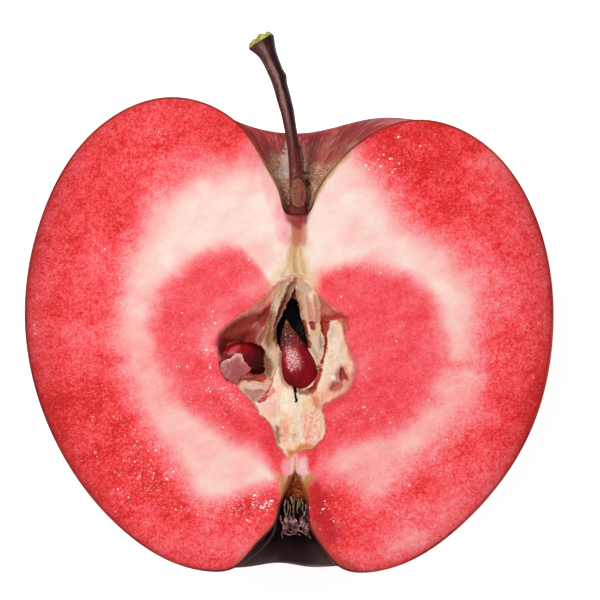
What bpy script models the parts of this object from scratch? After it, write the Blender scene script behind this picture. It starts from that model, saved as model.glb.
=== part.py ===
"""Half of a red-fleshed apple, cut from stalk to calyx, lying on its round back with the cut up.

Frame: metres, +Z up.  The origin is the middle of the small flat spot that the back rests on.
The stalk points along +Y and the cut face lies level at z = CUT_HEIGHT.
Outlines are written in millimetres from the fruit's own axis, which is the line x = 0.
"""

import math

import bpy
import numpy as np

MM = 0.001

# ---------------------------------------------------------------- driving sizes, in metres
CUT_HEIGHT = 33.4 * MM        # the cut face above the surface that the half lies on
GAP = 0.3 * MM                # clearance between solids that meet
CUTTER_RISE = 1.0 * MM        # how far a cutter stands out of the cut face
CORE_DEPTH = 9.0 * MM         # the core tissue below the cut face
LOBE_HEIGHT = 0.35 * MM       # the five swellings round the calyx end
LOBE_COUNT = 5

# ---------------------------------------------------------------- grid counts
SKIN_COLUMNS = 38             # from the right cut edge round the back to the left cut edge
OUTLINE_PARTS = 3             # straight parts between two neighbouring points of an outline
BOWL_RINGS = 6
BOWL_BLUNTNESS = 0.42         # 1 is half an ellipse, less is steeper walls and a flatter floor
TUBE_SIDES = 14

# Stations from the cavity floor at the stalk, over the shoulder and the flank, to the top of the
# calyx tube: distance from the axis and height along it, in millimetres.  "back" is the profile
# straight behind the cut; it runs 0.5 mm below the resting plane, which flattens it.
STATIONS = {
    #                right            left             back            parts to the next station
    "cavity floor": ((0.0, 14.1), (0.0, 14.1), (0.0, 14.1), 1),
    "throat": ((1.8, 15.7), (1.0, 15.9), (1.9, 15.2), 2),
    "cavity wall": ((5.2, 21.2), (3.3, 20.6), (5.2, 20.4), 2),
    "cavity lip": ((8.9, 24.9), (6.6, 26.0), (9.6, 25.3), 3),
    "shoulder": ((16.2, 27.7), (16.3, 30.7), (16.4, 27.5), 3),
    "upper side": ((25.4, 24.3), (27.0, 25.9), (25.3, 22.9), 3),
    "upper flank": ((31.8, 15.3), (33.4, 15.6), (31.5, 13.8), 4),
    "widest": ((34.3, -0.2), (35.9, 0.8), (33.9, 0.0), 4),
    "lower flank": ((31.3, -13.7), (32.2, -14.3), (30.6, -14.6), 3),
    "lower side": ((22.2, -26.1), (22.5, -27.2), (21.9, -26.6), 3),
    "calyx lobe": ((10.4, -32.4), (12.0, -32.3), (10.4, -32.6), 2),
    "basin lip": ((6.3, -32.0), (8.1, -31.9), (6.6, -31.8), 2),
    "basin wall": ((3.3, -28.8), (5.0, -28.7), (3.9, -28.6), 2),
    "basin floor": ((1.8, -26.0), (2.5, -25.8), (2.2, -25.8), 2),
    "tube": ((1.5, -23.0), (1.85, -23.0), (1.7, -23.0), 2),
    "tube top": ((0.0, -19.7), (0.0, -19.7), (0.0, -19.7), 0),
}
LOBE_STATION = "calyx lobe"

# Outline of the core on the cut face, anticlockwise from its point below the stalk.
CORE_OUTLINE = [
    (0.0, 7.3), (-2.6, 6.2), (-7.2, 2.5), (-10.7, -0.1), (-11.3, -3.2), (-10.0, -6.2),
    (-6.7, -10.1), (-3.7, -13.3), (-2.5, -16.5), (0.2, -17.5), (3.4, -16.8), (4.7, -13.4),
    (4.9, -10.9), (7.6, -8.7), (8.6, -5.7), (7.9, -2.0), (7.5, 1.2), (4.5, 3.9), (1.9, 6.4),
]

# Hollows of the core: outline on the cut face and depth, in millimetres.
HOLLOWS = {
    "middle_chamber": ([
        (-0.1, 5.7), (-0.8, 4.2), (-1.8, 2.3), (-2.5, 0.4), (-2.5, -2.2), (-2.4, -4.6),
        (-2.1, -6.7), (-0.8, -8.8), (1.1, -9.5), (3.1, -8.5), (3.7, -6.1), (3.2, -3.9),
        (2.4, -2.3), (1.6, -0.8), (0.9, 1.2), (0.4, 3.2),
    ], 6.6),
    "left_chamber": ([
        (-2.9, 4.6), (-5.4, 2.9), (-8.2, 0.9), (-10.0, -0.6), (-10.5, -3.0), (-9.8, -5.4),
        (-7.3, -7.2), (-4.4, -7.2), (-3.4, -5.2), (-3.4, -2.2), (-3.3, 0.6), (-3.0, 3.0),
    ], 6.4),
    "right_pocket": ([
        (3.4, 2.3), (3.6, -1.0), (3.5, -3.3), (4.0, -3.5), (4.4, -1.5), (4.9, 0.3), (6.2, 1.2),
        (4.6, 2.3),
    ], 2.2),
    "right_window": ([(1.5, 4.2), (1.3, 3.0), (1.8, 1.2), (2.3, -0.2), (2.7, 1.4), (2.3, 3.2)], 0.8),
    "lower_window": ([(6.1, -5.2), (5.6, -6.6), (4.8, -7.5), (5.2, -8.1), (6.4, -7.8), (7.1, -6.8)], 0.8),
}

# Pips: the tip and the blunt end (x, y, depth below the cut), the full width and the thickness.
PIPS = {
    "pip_middle": {"tip": (-1.1, 1.1, 2.6), "end": (1.4, -8.0, 2.4), "width": 4.7, "thick": 3.0},
    "pip_left": {"tip": (-3.9, -4.6, 2.6), "end": (-9.9, -3.7, 2.7), "width": 4.5, "thick": 2.9},
}
PIP_RINGS = 10
PIP_FULLNESS = 1.45           # above 1 moves the widest place towards the blunt end

# Stalk: points along its middle (x, y, depth below the cut) with its radius, from the base up.
STALK = [
    ((0.46, 16.5, 0.35), 0.95), ((0.46, 18.3, 0.35), 1.02), ((0.1, 21.6, 0.9), 0.86),
    ((-0.3, 24.5, 1.1), 0.86), ((-0.6, 27.0, 1.1), 0.86), ((-1.35, 30.3, 1.1), 0.90),
    ((-2.6, 33.9, 1.2), 0.95), ((-3.5, 36.2, 1.3), 1.10), ((-4.3, 38.3, 1.4), 1.80),
]
STALK_PARTS = 2
STALK_CUT_SKIM = 0.02         # the knife left the base this far below the cut face, in millimetres

# Dried sepals round the mouth of the calyx tube.
SEPAL_ANGLES = (28.0, 90.0, 152.0)
SEPAL_ROOT = (0.95, -24.7)    # distance from the tube's axis and height, in millimetres
SEPAL_TIP = (1.75, -27.5)
SEPAL_HALF_WIDTH = 0.55
SEPAL_THICK = 0.35
SEPAL_AXIS_X = -0.2
SEPAL_RINGS = 7
SEPAL_SIDES = 8


# ---------------------------------------------------------------- helpers
def smooth_curve(points, parts):
    """Read points from the natural cubic spline, over chord length, through the given ones.

    parts[i] is the number of equal steps between point i and point i + 1.
    """
    points = np.asarray(points, dtype=float)
    count = len(points)
    chord = np.linalg.norm(np.diff(points, axis=0), axis=1)
    matrix = np.eye(count)
    right_side = np.zeros_like(points)
    for i in range(1, count - 1):
        before, after = chord[i - 1], chord[i]
        matrix[i, i - 1:i + 2] = before, 2.0 * (before + after), after
        slope_change = (points[i + 1] - points[i]) / after - (points[i] - points[i - 1]) / before
        right_side[i] = 6.0 * slope_change
    bend = np.linalg.solve(matrix, right_side)
    curve = []
    for i in range(count - 1):
        for step in range(parts[i]):
            b = step / parts[i]
            a = 1.0 - b
            straight = a * points[i] + b * points[i + 1]
            sag = ((a ** 3 - a) * bend[i] + (b ** 3 - b) * bend[i + 1]) * chord[i] ** 2 / 6.0
            curve.append(straight + sag)
    curve.append(points[-1])
    return np.array(curve)


def smooth_loop(points, parts):
    """A closed smooth curve: the loop is run on by three points at each end and trimmed again."""
    overrun = 3
    longer = points[-overrun:] + points + points[:overrun]
    curve = smooth_curve(longer, [parts] * (len(longer) - 1))
    return curve[overrun * parts:(overrun + len(points)) * parts]


def material(name, colour, roughness, metallic=0.0):
    """A Principled material with one colour."""
    made = bpy.data.materials.new(name)
    made.use_nodes = True
    shader = made.node_tree.nodes["Principled BSDF"]
    shader.inputs["Base Color"].default_value = (*colour, 1.0)
    shader.inputs["Roughness"].default_value = roughness
    shader.inputs["Metallic"].default_value = metallic
    return made


def make_object(name, points, faces, surface, sharp_angle=40.0):
    """An object from points in metres and faces, shaded smooth except over sharp edges."""
    mesh = bpy.data.meshes.new(name)
    mesh.from_pydata([tuple(p) for p in points], [], faces)
    mesh.update()
    mesh.shade_smooth()
    mesh.set_sharp_from_angle(angle=math.radians(sharp_angle))
    mesh.materials.append(surface)
    made = bpy.data.objects.new(name, mesh)
    bpy.context.scene.collection.objects.link(made)
    return made


def rings_to_faces(ring_count, sides):
    """Quads between closed rings of equal point counts, seen from outside as the rings go up."""
    faces = []
    for ring in range(ring_count - 1):
        for side in range(sides):
            after = (side + 1) % sides
            low, high = ring * sides, (ring + 1) * sides
            faces.append((low + side, low + after, high + after, high + side))
    return faces


def closed_tube(name, rings, surface, sharp_angle=40.0):
    """A solid from closed rings, with a flat cap at each end.  The rings turn about their path."""
    rings = np.asarray(rings)
    ring_count, sides = rings.shape[:2]
    faces = rings_to_faces(ring_count, sides)
    faces.append(tuple(range(sides - 1, -1, -1)))
    faces.append(tuple(range((ring_count - 1) * sides, ring_count * sides)))
    return make_object(name, rings.reshape(-1, 3), faces, surface, sharp_angle)


def bowl(name, outline, depth, surface, grow=0.0, rise=0.0):
    """A round-bottomed solid hanging under a flat outline on the cut face.

    Ring k has the outline drawn in towards its middle by a quarter ellipse as it sinks to depth.
    All values are in millimetres; grow widens the outline and rise lifts its top.
    """
    outline = np.asarray(outline)
    middle = outline.mean(axis=0)
    spoke = outline - middle
    reach = np.linalg.norm(spoke, axis=1, keepdims=True)
    spoke = spoke * (reach + grow) / reach
    cut = CUT_HEIGHT / MM
    rings = []
    for k in range(BOWL_RINGS, 0, -1):
        turn = 0.5 * math.pi * k / (BOWL_RINGS + 0.6)
        ring = middle + spoke * math.cos(turn) ** BOWL_BLUNTNESS
        rings.append(np.column_stack([ring, np.full(len(ring), cut - (depth + grow) * math.sin(turn))]))
    flat = middle + spoke
    rings.append(np.column_stack([flat, np.full(len(flat), cut)]))
    if rise:
        rings.append(np.column_stack([flat, np.full(len(flat), cut + rise)]))
    return closed_tube(name, np.array(rings) * MM, surface)


def cut_away(target, cutter):
    """Cut the cutter's shape out of the target; the cutter stays as a hidden guide."""
    cutter.hide_render = True
    cutter.display_type = "WIRE"
    boolean = target.modifiers.new(cutter.name, "BOOLEAN")
    boolean.operation = "DIFFERENCE"
    boolean.solver = "EXACT"
    boolean.object = cutter


# ---------------------------------------------------------------- the parts
def skin_grid():
    """The fruit's surface as rows (stations) by columns (turn from right to left), in millimetres.

    Each column mixes three profiles: the side's own by the square of the turn's cosine, and the
    back's by the square of its sine.  The five calyx lobes swell only behind the cut.
    """
    stations = list(STATIONS.values())
    parts = [station[3] for station in stations[:-1]]
    right, left, back = (smooth_curve([station[k] for station in stations], parts) for k in range(3))
    names = list(STATIONS)
    lobe_row = sum(parts[:names.index(LOBE_STATION)])
    rows = np.arange(len(right))
    swelling = np.exp(-((rows - lobe_row) / 2.5) ** 2)[:, None]
    turn = np.linspace(0.0, math.pi, SKIN_COLUMNS + 1)[None, :]
    side_share, back_share = np.cos(turn) ** 2, np.sin(turn) ** 2
    on_right = turn < 0.5 * math.pi
    radius = np.where(on_right, right[:, :1], left[:, :1]) * side_share + back[:, :1] * back_share
    height = np.where(on_right, right[:, 1:], left[:, 1:]) * side_share + back[:, 1:] * back_share
    height -= LOBE_HEIGHT / MM * swelling * back_share * np.cos(LOBE_COUNT * turn)
    depth = CUT_HEIGHT / MM - radius * np.sin(turn)
    depth[:, 0] = depth[:, -1] = CUT_HEIGHT / MM
    return np.stack([radius * np.cos(turn), height, np.maximum(depth, 0.0)], axis=2)


def make_flesh(surface):
    """Skin and flesh as one solid: the skin grid, closed by one flat face on the cut plane."""
    grid = skin_grid() * MM
    inner = grid[1:-1]
    row_count, column_count = inner.shape[:2]
    points = list(inner.reshape(-1, 3)) + [grid[0, 0], grid[-1, 0]]
    floor_pole, tube_pole = len(points) - 2, len(points) - 1

    def at(row, column):
        return row * column_count + column

    faces = []
    for column in range(column_count - 1):
        faces.append((floor_pole, at(0, column), at(0, column + 1)))
        faces.append((tube_pole, at(row_count - 1, column + 1), at(row_count - 1, column)))
        for row in range(row_count - 1):
            faces.append((at(row, column), at(row + 1, column), at(row + 1, column + 1), at(row, column + 1)))
    left_edge = [at(row, column_count - 1) for row in range(row_count)]
    right_edge = [at(row, 0) for row in range(row_count - 1, -1, -1)]
    faces.append((floor_pole, *left_edge, tube_pole, *right_edge))
    return make_object("flesh", points, faces, surface)


def make_pip(name, tip, end, width, thick, surface):
    """A pip: elliptical rings on a line from its tip to its blunt end.

    At the share u of its length the width is sin(pi u^fullness) to the power 0.62.
    """
    cut = CUT_HEIGHT / MM
    tip = np.array([tip[0], tip[1], cut - tip[2]])
    end = np.array([end[0], end[1], cut - end[2]])
    along = (end - tip) / np.linalg.norm(end - tip)
    across = np.cross(along, (0.0, 0.0, 1.0))
    across /= np.linalg.norm(across)
    under = np.cross(along, across)
    angle = np.arange(TUBE_SIDES) * 2.0 * math.pi / TUBE_SIDES
    rings = []
    for k in range(PIP_RINGS + 1):
        share = 0.02 + 0.965 * 0.5 * (1.0 - math.cos(math.pi * k / PIP_RINGS))
        swell = math.sin(math.pi * share ** PIP_FULLNESS) ** 0.62
        ring = (tip + (end - tip) * share
                + np.outer(np.cos(angle), across) * swell * width / 2
                + np.outer(np.sin(angle), under) * swell * thick / 2)
        rings.append(ring)
    return closed_tube(name, np.array(rings) * MM, surface, sharp_angle=70.0)


def make_stalk(surface):
    """The stalk: rings square to its path, widening to the broken end, planed off by the knife."""
    cut = CUT_HEIGHT / MM
    route = [(x, y, cut - depth, radius) for (x, y, depth), radius in STALK]
    curve = smooth_curve(route, [STALK_PARTS] * (len(route) - 1))
    path, radii = curve[:, :3], curve[:, 3]
    direction = np.gradient(path, axis=0)
    direction /= np.linalg.norm(direction, axis=1, keepdims=True)
    across = np.cross(direction, (0.0, 0.0, 1.0))
    across /= np.linalg.norm(across, axis=1, keepdims=True)
    under = np.cross(direction, across)
    angle = np.arange(TUBE_SIDES) * 2.0 * math.pi / TUBE_SIDES
    rings = (path[:, None, :]
             + radii[:, None, None] * (np.cos(angle)[None, :, None] * across[:, None, :]
                                       + np.sin(angle)[None, :, None] * under[:, None, :]))
    rings[:, :, 2] = np.minimum(rings[:, :, 2], cut - STALK_CUT_SKIM)
    return closed_tube("stalk", rings * MM, surface, sharp_angle=50.0)


def make_sepal(number, angle, surface):
    """A dried sepal: a small curved leaf leaning out of the calyx tube as it leaves it."""
    turn = math.radians(angle)
    radial = np.array([math.cos(turn), 0.0, -math.sin(turn)])
    across = np.array([-math.sin(turn), 0.0, -math.cos(turn)])
    axis_point = np.array([SEPAL_AXIS_X, 0.0, CUT_HEIGHT / MM - SEPAL_THICK])
    side = np.arange(SEPAL_SIDES) * 2.0 * math.pi / SEPAL_SIDES
    rings = []
    for k in range(SEPAL_RINGS + 1):
        share = k / SEPAL_RINGS
        reach = SEPAL_ROOT[0] + (SEPAL_TIP[0] - SEPAL_ROOT[0]) * share ** 1.6
        height = SEPAL_ROOT[1] + (SEPAL_TIP[1] - SEPAL_ROOT[1]) * share
        half_width = SEPAL_HALF_WIDTH * (0.45 + 0.55 * math.sin(math.pi * share)) * (1.0 - 0.75 * share ** 4)
        middle = axis_point + radial * reach + np.array([0.0, height, 0.0])
        ring = (middle + np.outer(np.cos(side), across) * half_width
                + np.outer(np.sin(side), radial) * SEPAL_THICK / 2)
        rings.append(ring)
    return closed_tube(f"sepal_{number}", np.array(rings) * MM, surface, sharp_angle=60.0)


def build():
    for old in list(bpy.data.objects):
        bpy.data.objects.remove(old, do_unlink=True)

    flesh_red = material("flesh red", (0.75, 0.09, 0.10), 0.35)
    core_cream = material("core cream", (0.82, 0.60, 0.40), 0.55)
    pip_brown = material("pip brown", (0.16, 0.015, 0.012), 0.25)
    stalk_brown = material("stalk brown", (0.07, 0.02, 0.02), 0.5)
    sepal_brown = material("sepal brown", (0.12, 0.05, 0.04), 0.75)
    guide = material("guide", (0.5, 0.5, 0.5), 0.5)

    flesh = make_flesh(flesh_red)
    outline = smooth_loop(CORE_OUTLINE, OUTLINE_PARTS)
    core = bowl("core", outline, CORE_DEPTH / MM, core_cream)
    recess = bowl("core_recess", outline, CORE_DEPTH / MM, guide, grow=GAP / MM, rise=CUTTER_RISE / MM)
    cut_away(flesh, recess)
    for name, (points, depth) in HOLLOWS.items():
        hollow = bowl(name, smooth_loop(points, OUTLINE_PARTS), depth, guide, rise=CUTTER_RISE / MM)
        cut_away(core, hollow)
    for name, sizes in PIPS.items():
        make_pip(name, surface=pip_brown, **sizes)
    make_stalk(stalk_brown)
    for number, angle in enumerate(SEPAL_ANGLES, start=1):
        make_sepal(number, angle, sepal_brown)


build()
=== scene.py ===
# %% [markdown]
# Half of a red-fleshed apple
#
# The half lies on its round back, so the camera looks straight down on the cut face.  The packed
# model is loaded first and never moved: every finer surface below is worked out in the same frame,
# in metres, and takes over from one of its solids.

# %% Load the fixed frame
import math

import bpy
import numpy as np
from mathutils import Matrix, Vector


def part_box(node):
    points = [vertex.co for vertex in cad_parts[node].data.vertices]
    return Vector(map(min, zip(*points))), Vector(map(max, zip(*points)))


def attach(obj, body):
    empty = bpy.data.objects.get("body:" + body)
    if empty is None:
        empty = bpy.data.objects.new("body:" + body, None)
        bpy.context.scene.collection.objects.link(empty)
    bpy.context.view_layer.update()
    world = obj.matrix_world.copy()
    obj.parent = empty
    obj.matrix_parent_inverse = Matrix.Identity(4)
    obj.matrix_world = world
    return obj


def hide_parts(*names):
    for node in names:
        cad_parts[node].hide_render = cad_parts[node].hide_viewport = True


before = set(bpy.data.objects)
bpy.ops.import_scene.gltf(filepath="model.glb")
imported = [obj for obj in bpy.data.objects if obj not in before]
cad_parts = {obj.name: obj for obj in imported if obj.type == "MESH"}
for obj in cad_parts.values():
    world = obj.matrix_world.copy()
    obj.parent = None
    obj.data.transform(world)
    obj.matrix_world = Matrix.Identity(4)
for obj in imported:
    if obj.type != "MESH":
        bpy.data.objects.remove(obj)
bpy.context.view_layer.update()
print("frame nodes:", ", ".join(sorted(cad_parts)))

# %% [markdown]
# Shapes are written in millimetres from the fruit's own axis: x to the right, y towards the stalk,
# and depth below the cut face.  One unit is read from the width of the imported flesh, so all sizes
# follow the frame.  `place` turns such points into metres in the frame.

# %% Units and the place of the cut face
FRUIT_WIDTH = 70.2
low_corner, high_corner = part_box("flesh")
UNIT = (high_corner[0] - low_corner[0]) / FRUIT_WIDTH
CUT = high_corner[2]


def place(x, y, depth):
    """Points in metres from x, y and depth below the cut face in millimetres."""
    x, y, depth = np.broadcast_arrays(x, y, depth)
    return np.stack([x * UNIT, y * UNIT, CUT - depth * UNIT], axis=-1)


print(f"one unit is {UNIT * 1000:.4f} mm, the cut face is {CUT * 1000:.1f} mm up")

# %% [markdown]
# A smooth outline needs only a few points if a spline runs through them.  This is the natural cubic
# spline: its bends come from one small set of equations, and it is read at as many places as wanted.

# %% Smooth curves through a few points
def smooth_curve(points, parts):
    """Points on the natural cubic spline, over chord length, through the given points.

    parts is the number of equal steps in every span, or a list with one number for each span.
    """
    points = np.asarray(points, dtype=float)
    count = len(points)
    parts = [parts] * (count - 1) if isinstance(parts, int) else parts
    chord = np.linalg.norm(np.diff(points, axis=0), axis=1)
    matrix = np.eye(count)
    right_side = np.zeros_like(points)
    inner = np.arange(1, count - 1)
    matrix[inner, inner - 1] = chord[:-1]
    matrix[inner, inner] = 2.0 * (chord[:-1] + chord[1:])
    matrix[inner, inner + 1] = chord[1:]
    slope = np.diff(points, axis=0) / chord[:, None]
    right_side[1:-1] = 6.0 * np.diff(slope, axis=0)
    bend = np.linalg.solve(matrix, right_side)
    span = np.concatenate([np.full(n, i) for i, n in enumerate(parts)] + [[count - 2]])
    b = np.concatenate([np.arange(n) / n for n in parts] + [[1.0]])[:, None]
    a = 1.0 - b
    sag = ((a ** 3 - a) * bend[span] + (b ** 3 - b) * bend[span + 1]) * chord[span, None] ** 2 / 6.0
    return a * points[span] + b * points[span + 1] + sag


def smooth_loop(points, parts):
    """A closed smooth curve: the loop runs on by three points at each end and is trimmed again."""
    points = [tuple(p) for p in points]
    overrun = 3
    curve = smooth_curve(points[-overrun:] + points + points[:overrun], parts)
    return curve[overrun * parts:(overrun + len(points)) * parts]


def ease(low, high, value):
    """0 below low, 1 above high and an S-shaped rise between them."""
    share = np.clip((value - low) / (high - low), 0.0, 1.0)
    return share * share * (3.0 - 2.0 * share)


def round_the_clock(entries, degrees):
    """A value by direction: a smooth closed curve through {degrees: value}."""
    keys = np.array(sorted(entries), dtype=float)
    values = np.array([entries[k] for k in sorted(entries)])
    keys = np.concatenate([keys[-2:] - 360.0, keys, keys[:2] + 360.0])
    values = np.concatenate([values[-2:], values, values[:2]])
    rise = np.gradient(values, keys)
    i = np.clip(np.searchsorted(keys, degrees, side="right") - 1, 0, len(keys) - 2)
    step = keys[i + 1] - keys[i]
    t = (degrees - keys[i]) / step
    return ((1 + 2 * t) * (1 - t) ** 2 * values[i] + t * (1 - t) ** 2 * step * rise[i]
            + t * t * (3 - 2 * t) * values[i + 1] + t * t * (t - 1) * step * rise[i + 1])


# %% [markdown]
# Living tissue is never even.  Smooth random noise on a lattice gives the wavering edges and the
# fine relief: random heights at whole-number places, and a smooth blend between the four around a
# point.  The numbers come from a seed, so every run gives the same fruit.

# %% Seeded noise
HEIGHTS = 4096                  # how many random heights there are, a power of two
SCATTER_X, SCATTER_Y = 73856093, 19349663       # primes that spread neighbouring places over them


def noise(x, y, seed):
    """Smooth noise from -1 to 1: the S-shaped blend of random heights at the lattice points."""
    table = np.random.default_rng(seed).uniform(-1.0, 1.0, HEIGHTS)
    i, j = np.floor(x).astype(int), np.floor(y).astype(int)
    u, v = x - i, y - j
    u, v = u * u * (3 - 2 * u), v * v * (3 - 2 * v)

    def height(a, b):
        return table[(a * SCATTER_X ^ b * SCATTER_Y) & (HEIGHTS - 1)]

    low = height(i, j) * (1 - u) + height(i + 1, j) * u
    high = height(i, j + 1) * (1 - u) + height(i + 1, j + 1) * u
    return low * (1 - v) + high * v


def rough(x, y, cell, seed, octaves):
    """Noise at several scales, each half as coarse and half as strong as the one before."""
    total = 0.0
    for octave in range(octaves):
        fineness = 2.0 ** octave / cell
        total = total + noise(x * fineness, y * fineness, seed + octave) / 2.0 ** octave
    return total


# %% [markdown]
# Meshes are filled straight from arrays, which is much faster than adding vertices one by one.
# Every surface here is a grid of rows and columns, so one helper numbers its four-sided faces.

# %% Grids and meshes
def grid_faces(rows, columns, start, closed=False):
    """Four-sided faces between neighbouring rows and columns; closed joins the last column on."""
    row = np.arange(rows - 1)[:, None]
    column = np.arange(columns if closed else columns - 1)[None, :]
    after = (column + 1) % columns
    a, b = row * columns + column, row * columns + after
    c, d = (row + 1) * columns + after, (row + 1) * columns + column
    return start + np.stack([a, b, c, d], axis=-1).reshape(-1, 4)


def fan_faces(pole, loop, outward=True):
    """Triangles from one point to every side of a loop of point numbers."""
    after = np.roll(loop, -1)
    first, second = (loop, after) if outward else (after, loop)
    return np.stack([np.full(len(loop), pole), first, second], axis=-1)


def strip_faces(one, other):
    """Four-sided faces between two closed loops of point numbers."""
    return np.stack([one, np.roll(one, -1), np.roll(other, -1), other], axis=-1)


def circle(sides):
    """Equal turns round a circle, in radians."""
    return np.linspace(0.0, 2.0 * math.pi, sides, endpoint=False)


def make_piece(name, points, face_sets, finish, sharp=None):
    """A named object from points in metres and arrays of faces, shaded smooth.

    Edges that turn by more than sharp degrees stay sharp.
    """
    mesh = bpy.data.meshes.new(name)
    points = np.asarray(points, dtype=float).reshape(-1, 3)
    face_sets = [np.asarray(faces) for faces in face_sets if len(faces)]
    sizes = np.concatenate([np.full(len(faces), faces.shape[1]) for faces in face_sets])
    corners = np.concatenate([faces.ravel() for faces in face_sets])
    starts = np.concatenate([[0], np.cumsum(sizes)[:-1]])
    mesh.vertices.add(len(points))
    mesh.vertices.foreach_set("co", points.ravel())
    mesh.loops.add(len(corners))
    mesh.loops.foreach_set("vertex_index", corners.astype(np.int32))
    mesh.polygons.add(len(sizes))
    mesh.polygons.foreach_set("loop_start", starts.astype(np.int32))
    mesh.update(calc_edges=True)
    mesh.validate()
    mesh.shade_smooth()
    if sharp is not None:
        mesh.set_sharp_from_angle(angle=math.radians(sharp))
    mesh.materials.append(finish)
    made = bpy.data.objects.new(name, mesh)
    bpy.context.scene.collection.objects.link(made)
    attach(made, "root")
    print(f"{name}: {len(points)} points, {int(np.sum(sizes - 2))} triangles")
    return made


def store(piece, name, values):
    """Keep a number or a colour for every point of a piece, or one number for all, for its finish."""
    values = np.asarray(values, dtype=float)
    if values.ndim == 2:
        layer = piece.data.attributes.new(name, "FLOAT_COLOR", "POINT")
        values = np.column_stack([values, np.ones(len(values))])
        layer.data.foreach_set("color", values.ravel())
    else:
        layer = piece.data.attributes.new(name, "FLOAT", "POINT")
        layer.data.foreach_set("value", np.broadcast_to(values, len(piece.data.vertices)).copy())


# %% [markdown]
# A finish is a tree of small nodes.  Written as sums it is easier to read, so `Term` wraps a node's
# output, and + - * / on terms add the Math nodes.  `Finish` holds one material: `node` adds any node,
# with its settings first and then the values or links of its inputs.

# %% Materials written as sums
def tone(red, green, blue):
    """A screen colour from 0 to 255 as the linear colour that shading works in."""
    screen = np.array([red, green, blue]) / 255.0
    linear = np.where(screen <= 0.04045, screen / 12.92, ((screen + 0.055) / 1.055) ** 2.4)
    return (*linear.tolist(), 1.0)


class Term:
    """A number or colour on its way through a material."""

    def __init__(self, finish, socket):
        self.finish, self.socket = finish, socket

    def _sum(self, operation, first, second):
        return self.finish.node("ShaderNodeMath", {"operation": operation}, {0: first, 1: second})

    def __add__(self, other):
        return self._sum("ADD", self, other)

    def __sub__(self, other):
        return self._sum("SUBTRACT", self, other)

    def __mul__(self, other):
        return self._sum("MULTIPLY", self, other)

    def __pow__(self, other):
        return self._sum("POWER", self, other)

    def __rsub__(self, other):
        return self._sum("SUBTRACT", other, self)

    __radd__, __rmul__ = __add__, __mul__

    def step(self, low, high):
        """0 below low, 1 above high, S-shaped between."""
        return self.finish.node("ShaderNodeMapRange", {"interpolation_type": "SMOOTHSTEP"},
                                {"Value": self, "From Min": low, "From Max": high})


class Finish:
    """One material: a Principled surface and the nodes that feed it."""

    def __init__(self, name):
        self.material = bpy.data.materials.new(name)
        self.material.use_nodes = True
        self.tree = self.material.node_tree
        self.surface = self.tree.nodes["Principled BSDF"]
        self.position = self.node("ShaderNodeTexCoord", output="Object")

    def fill(self, socket, value):
        """Link a term to a socket, or set the socket's own value."""
        if isinstance(value, Term):
            self.tree.links.new(value.socket, socket)
        else:
            socket.default_value = value

    def node(self, kind, settings=None, inputs=None, output=0):
        """Add a node; a ramp's stops are settings, {"stops": [(place, screen colour), ...]}."""
        made = self.tree.nodes.new(kind)
        settings = dict(settings or {})
        stops = settings.pop("stops", None)
        for key, value in settings.items():
            setattr(made, key, value)
        if stops:
            elements = made.color_ramp.elements
            while len(elements) < len(stops):
                elements.new(0.5)
            for element, (spot, colour) in zip(elements, stops):
                element.position = spot
                element.color = tone(*colour)
        for key, value in (inputs or {}).items():
            self.fill(made.inputs[key], value)
        return Term(self, made.outputs[output])

    def attribute(self, name, output="Fac"):
        """A value that was stored on the piece's points."""
        return self.node("ShaderNodeAttribute", {"attribute_name": name}, output=output)

    def grain(self, scale, detail, roughness=0.5, vector=None):
        """Noise from 0 to 1 with scale features in a metre."""
        return self.node("ShaderNodeTexNoise", {}, {
            "Vector": vector or self.position, "Scale": scale, "Detail": detail, "Roughness": roughness})

    def cells(self, scale):
        """Distance to the nearest of many scattered points, scale of them in a metre."""
        return self.node("ShaderNodeTexVoronoi", {}, {"Vector": self.position, "Scale": scale})

    def stretched(self, factors, turn=0.0):
        """The position scaled by a factor for each axis, and turned about Z."""
        return self.node("ShaderNodeMapping", {}, {
            "Vector": self.position, "Scale": factors, "Rotation": (0.0, 0.0, turn)})

    def axes(self):
        """The position's x, y and z, each as a term of its own."""
        split = self.node("ShaderNodeSeparateXYZ", {}, {"Vector": self.position}).socket.node
        return [Term(self, socket) for socket in split.outputs]

    def blend(self, share, first, second):
        """A colour between two, by a share from 0 to 1."""
        return self.node("ShaderNodeMix", {"data_type": "RGBA"}, {0: share, 6: first, 7: second}, output=2)

    def ramp(self, value, stops):
        """A colour read from a row of stops, each a place from 0 to 1 and a screen colour."""
        return self.node("ShaderNodeValToRGB", {"stops": list(stops)}, {"Fac": value})

    def bump(self, height, distance):
        """Small relief: height from 0 to 1 stands for distance in metres."""
        return self.node("ShaderNodeBump", {}, {"Height": height, "Distance": distance, "Strength": 1.0})

    def set(self, **inputs):
        """Set or link the surface's own inputs; an underscore stands for a space."""
        for key, value in inputs.items():
            self.fill(self.surface.inputs[key.replace("_", " ")], value)


# %% [markdown]
# The fruit's outside is worked out from three profiles: the right and left edges of the cut, and the
# line straight behind it.  Each profile runs from the floor of the stalk cavity over the shoulder
# and the flank into the calyx basin and up its tube.  Between them the surface mixes the profiles by
# the squares of the turn's cosine and sine, so it meets the cut face squarely.

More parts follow.
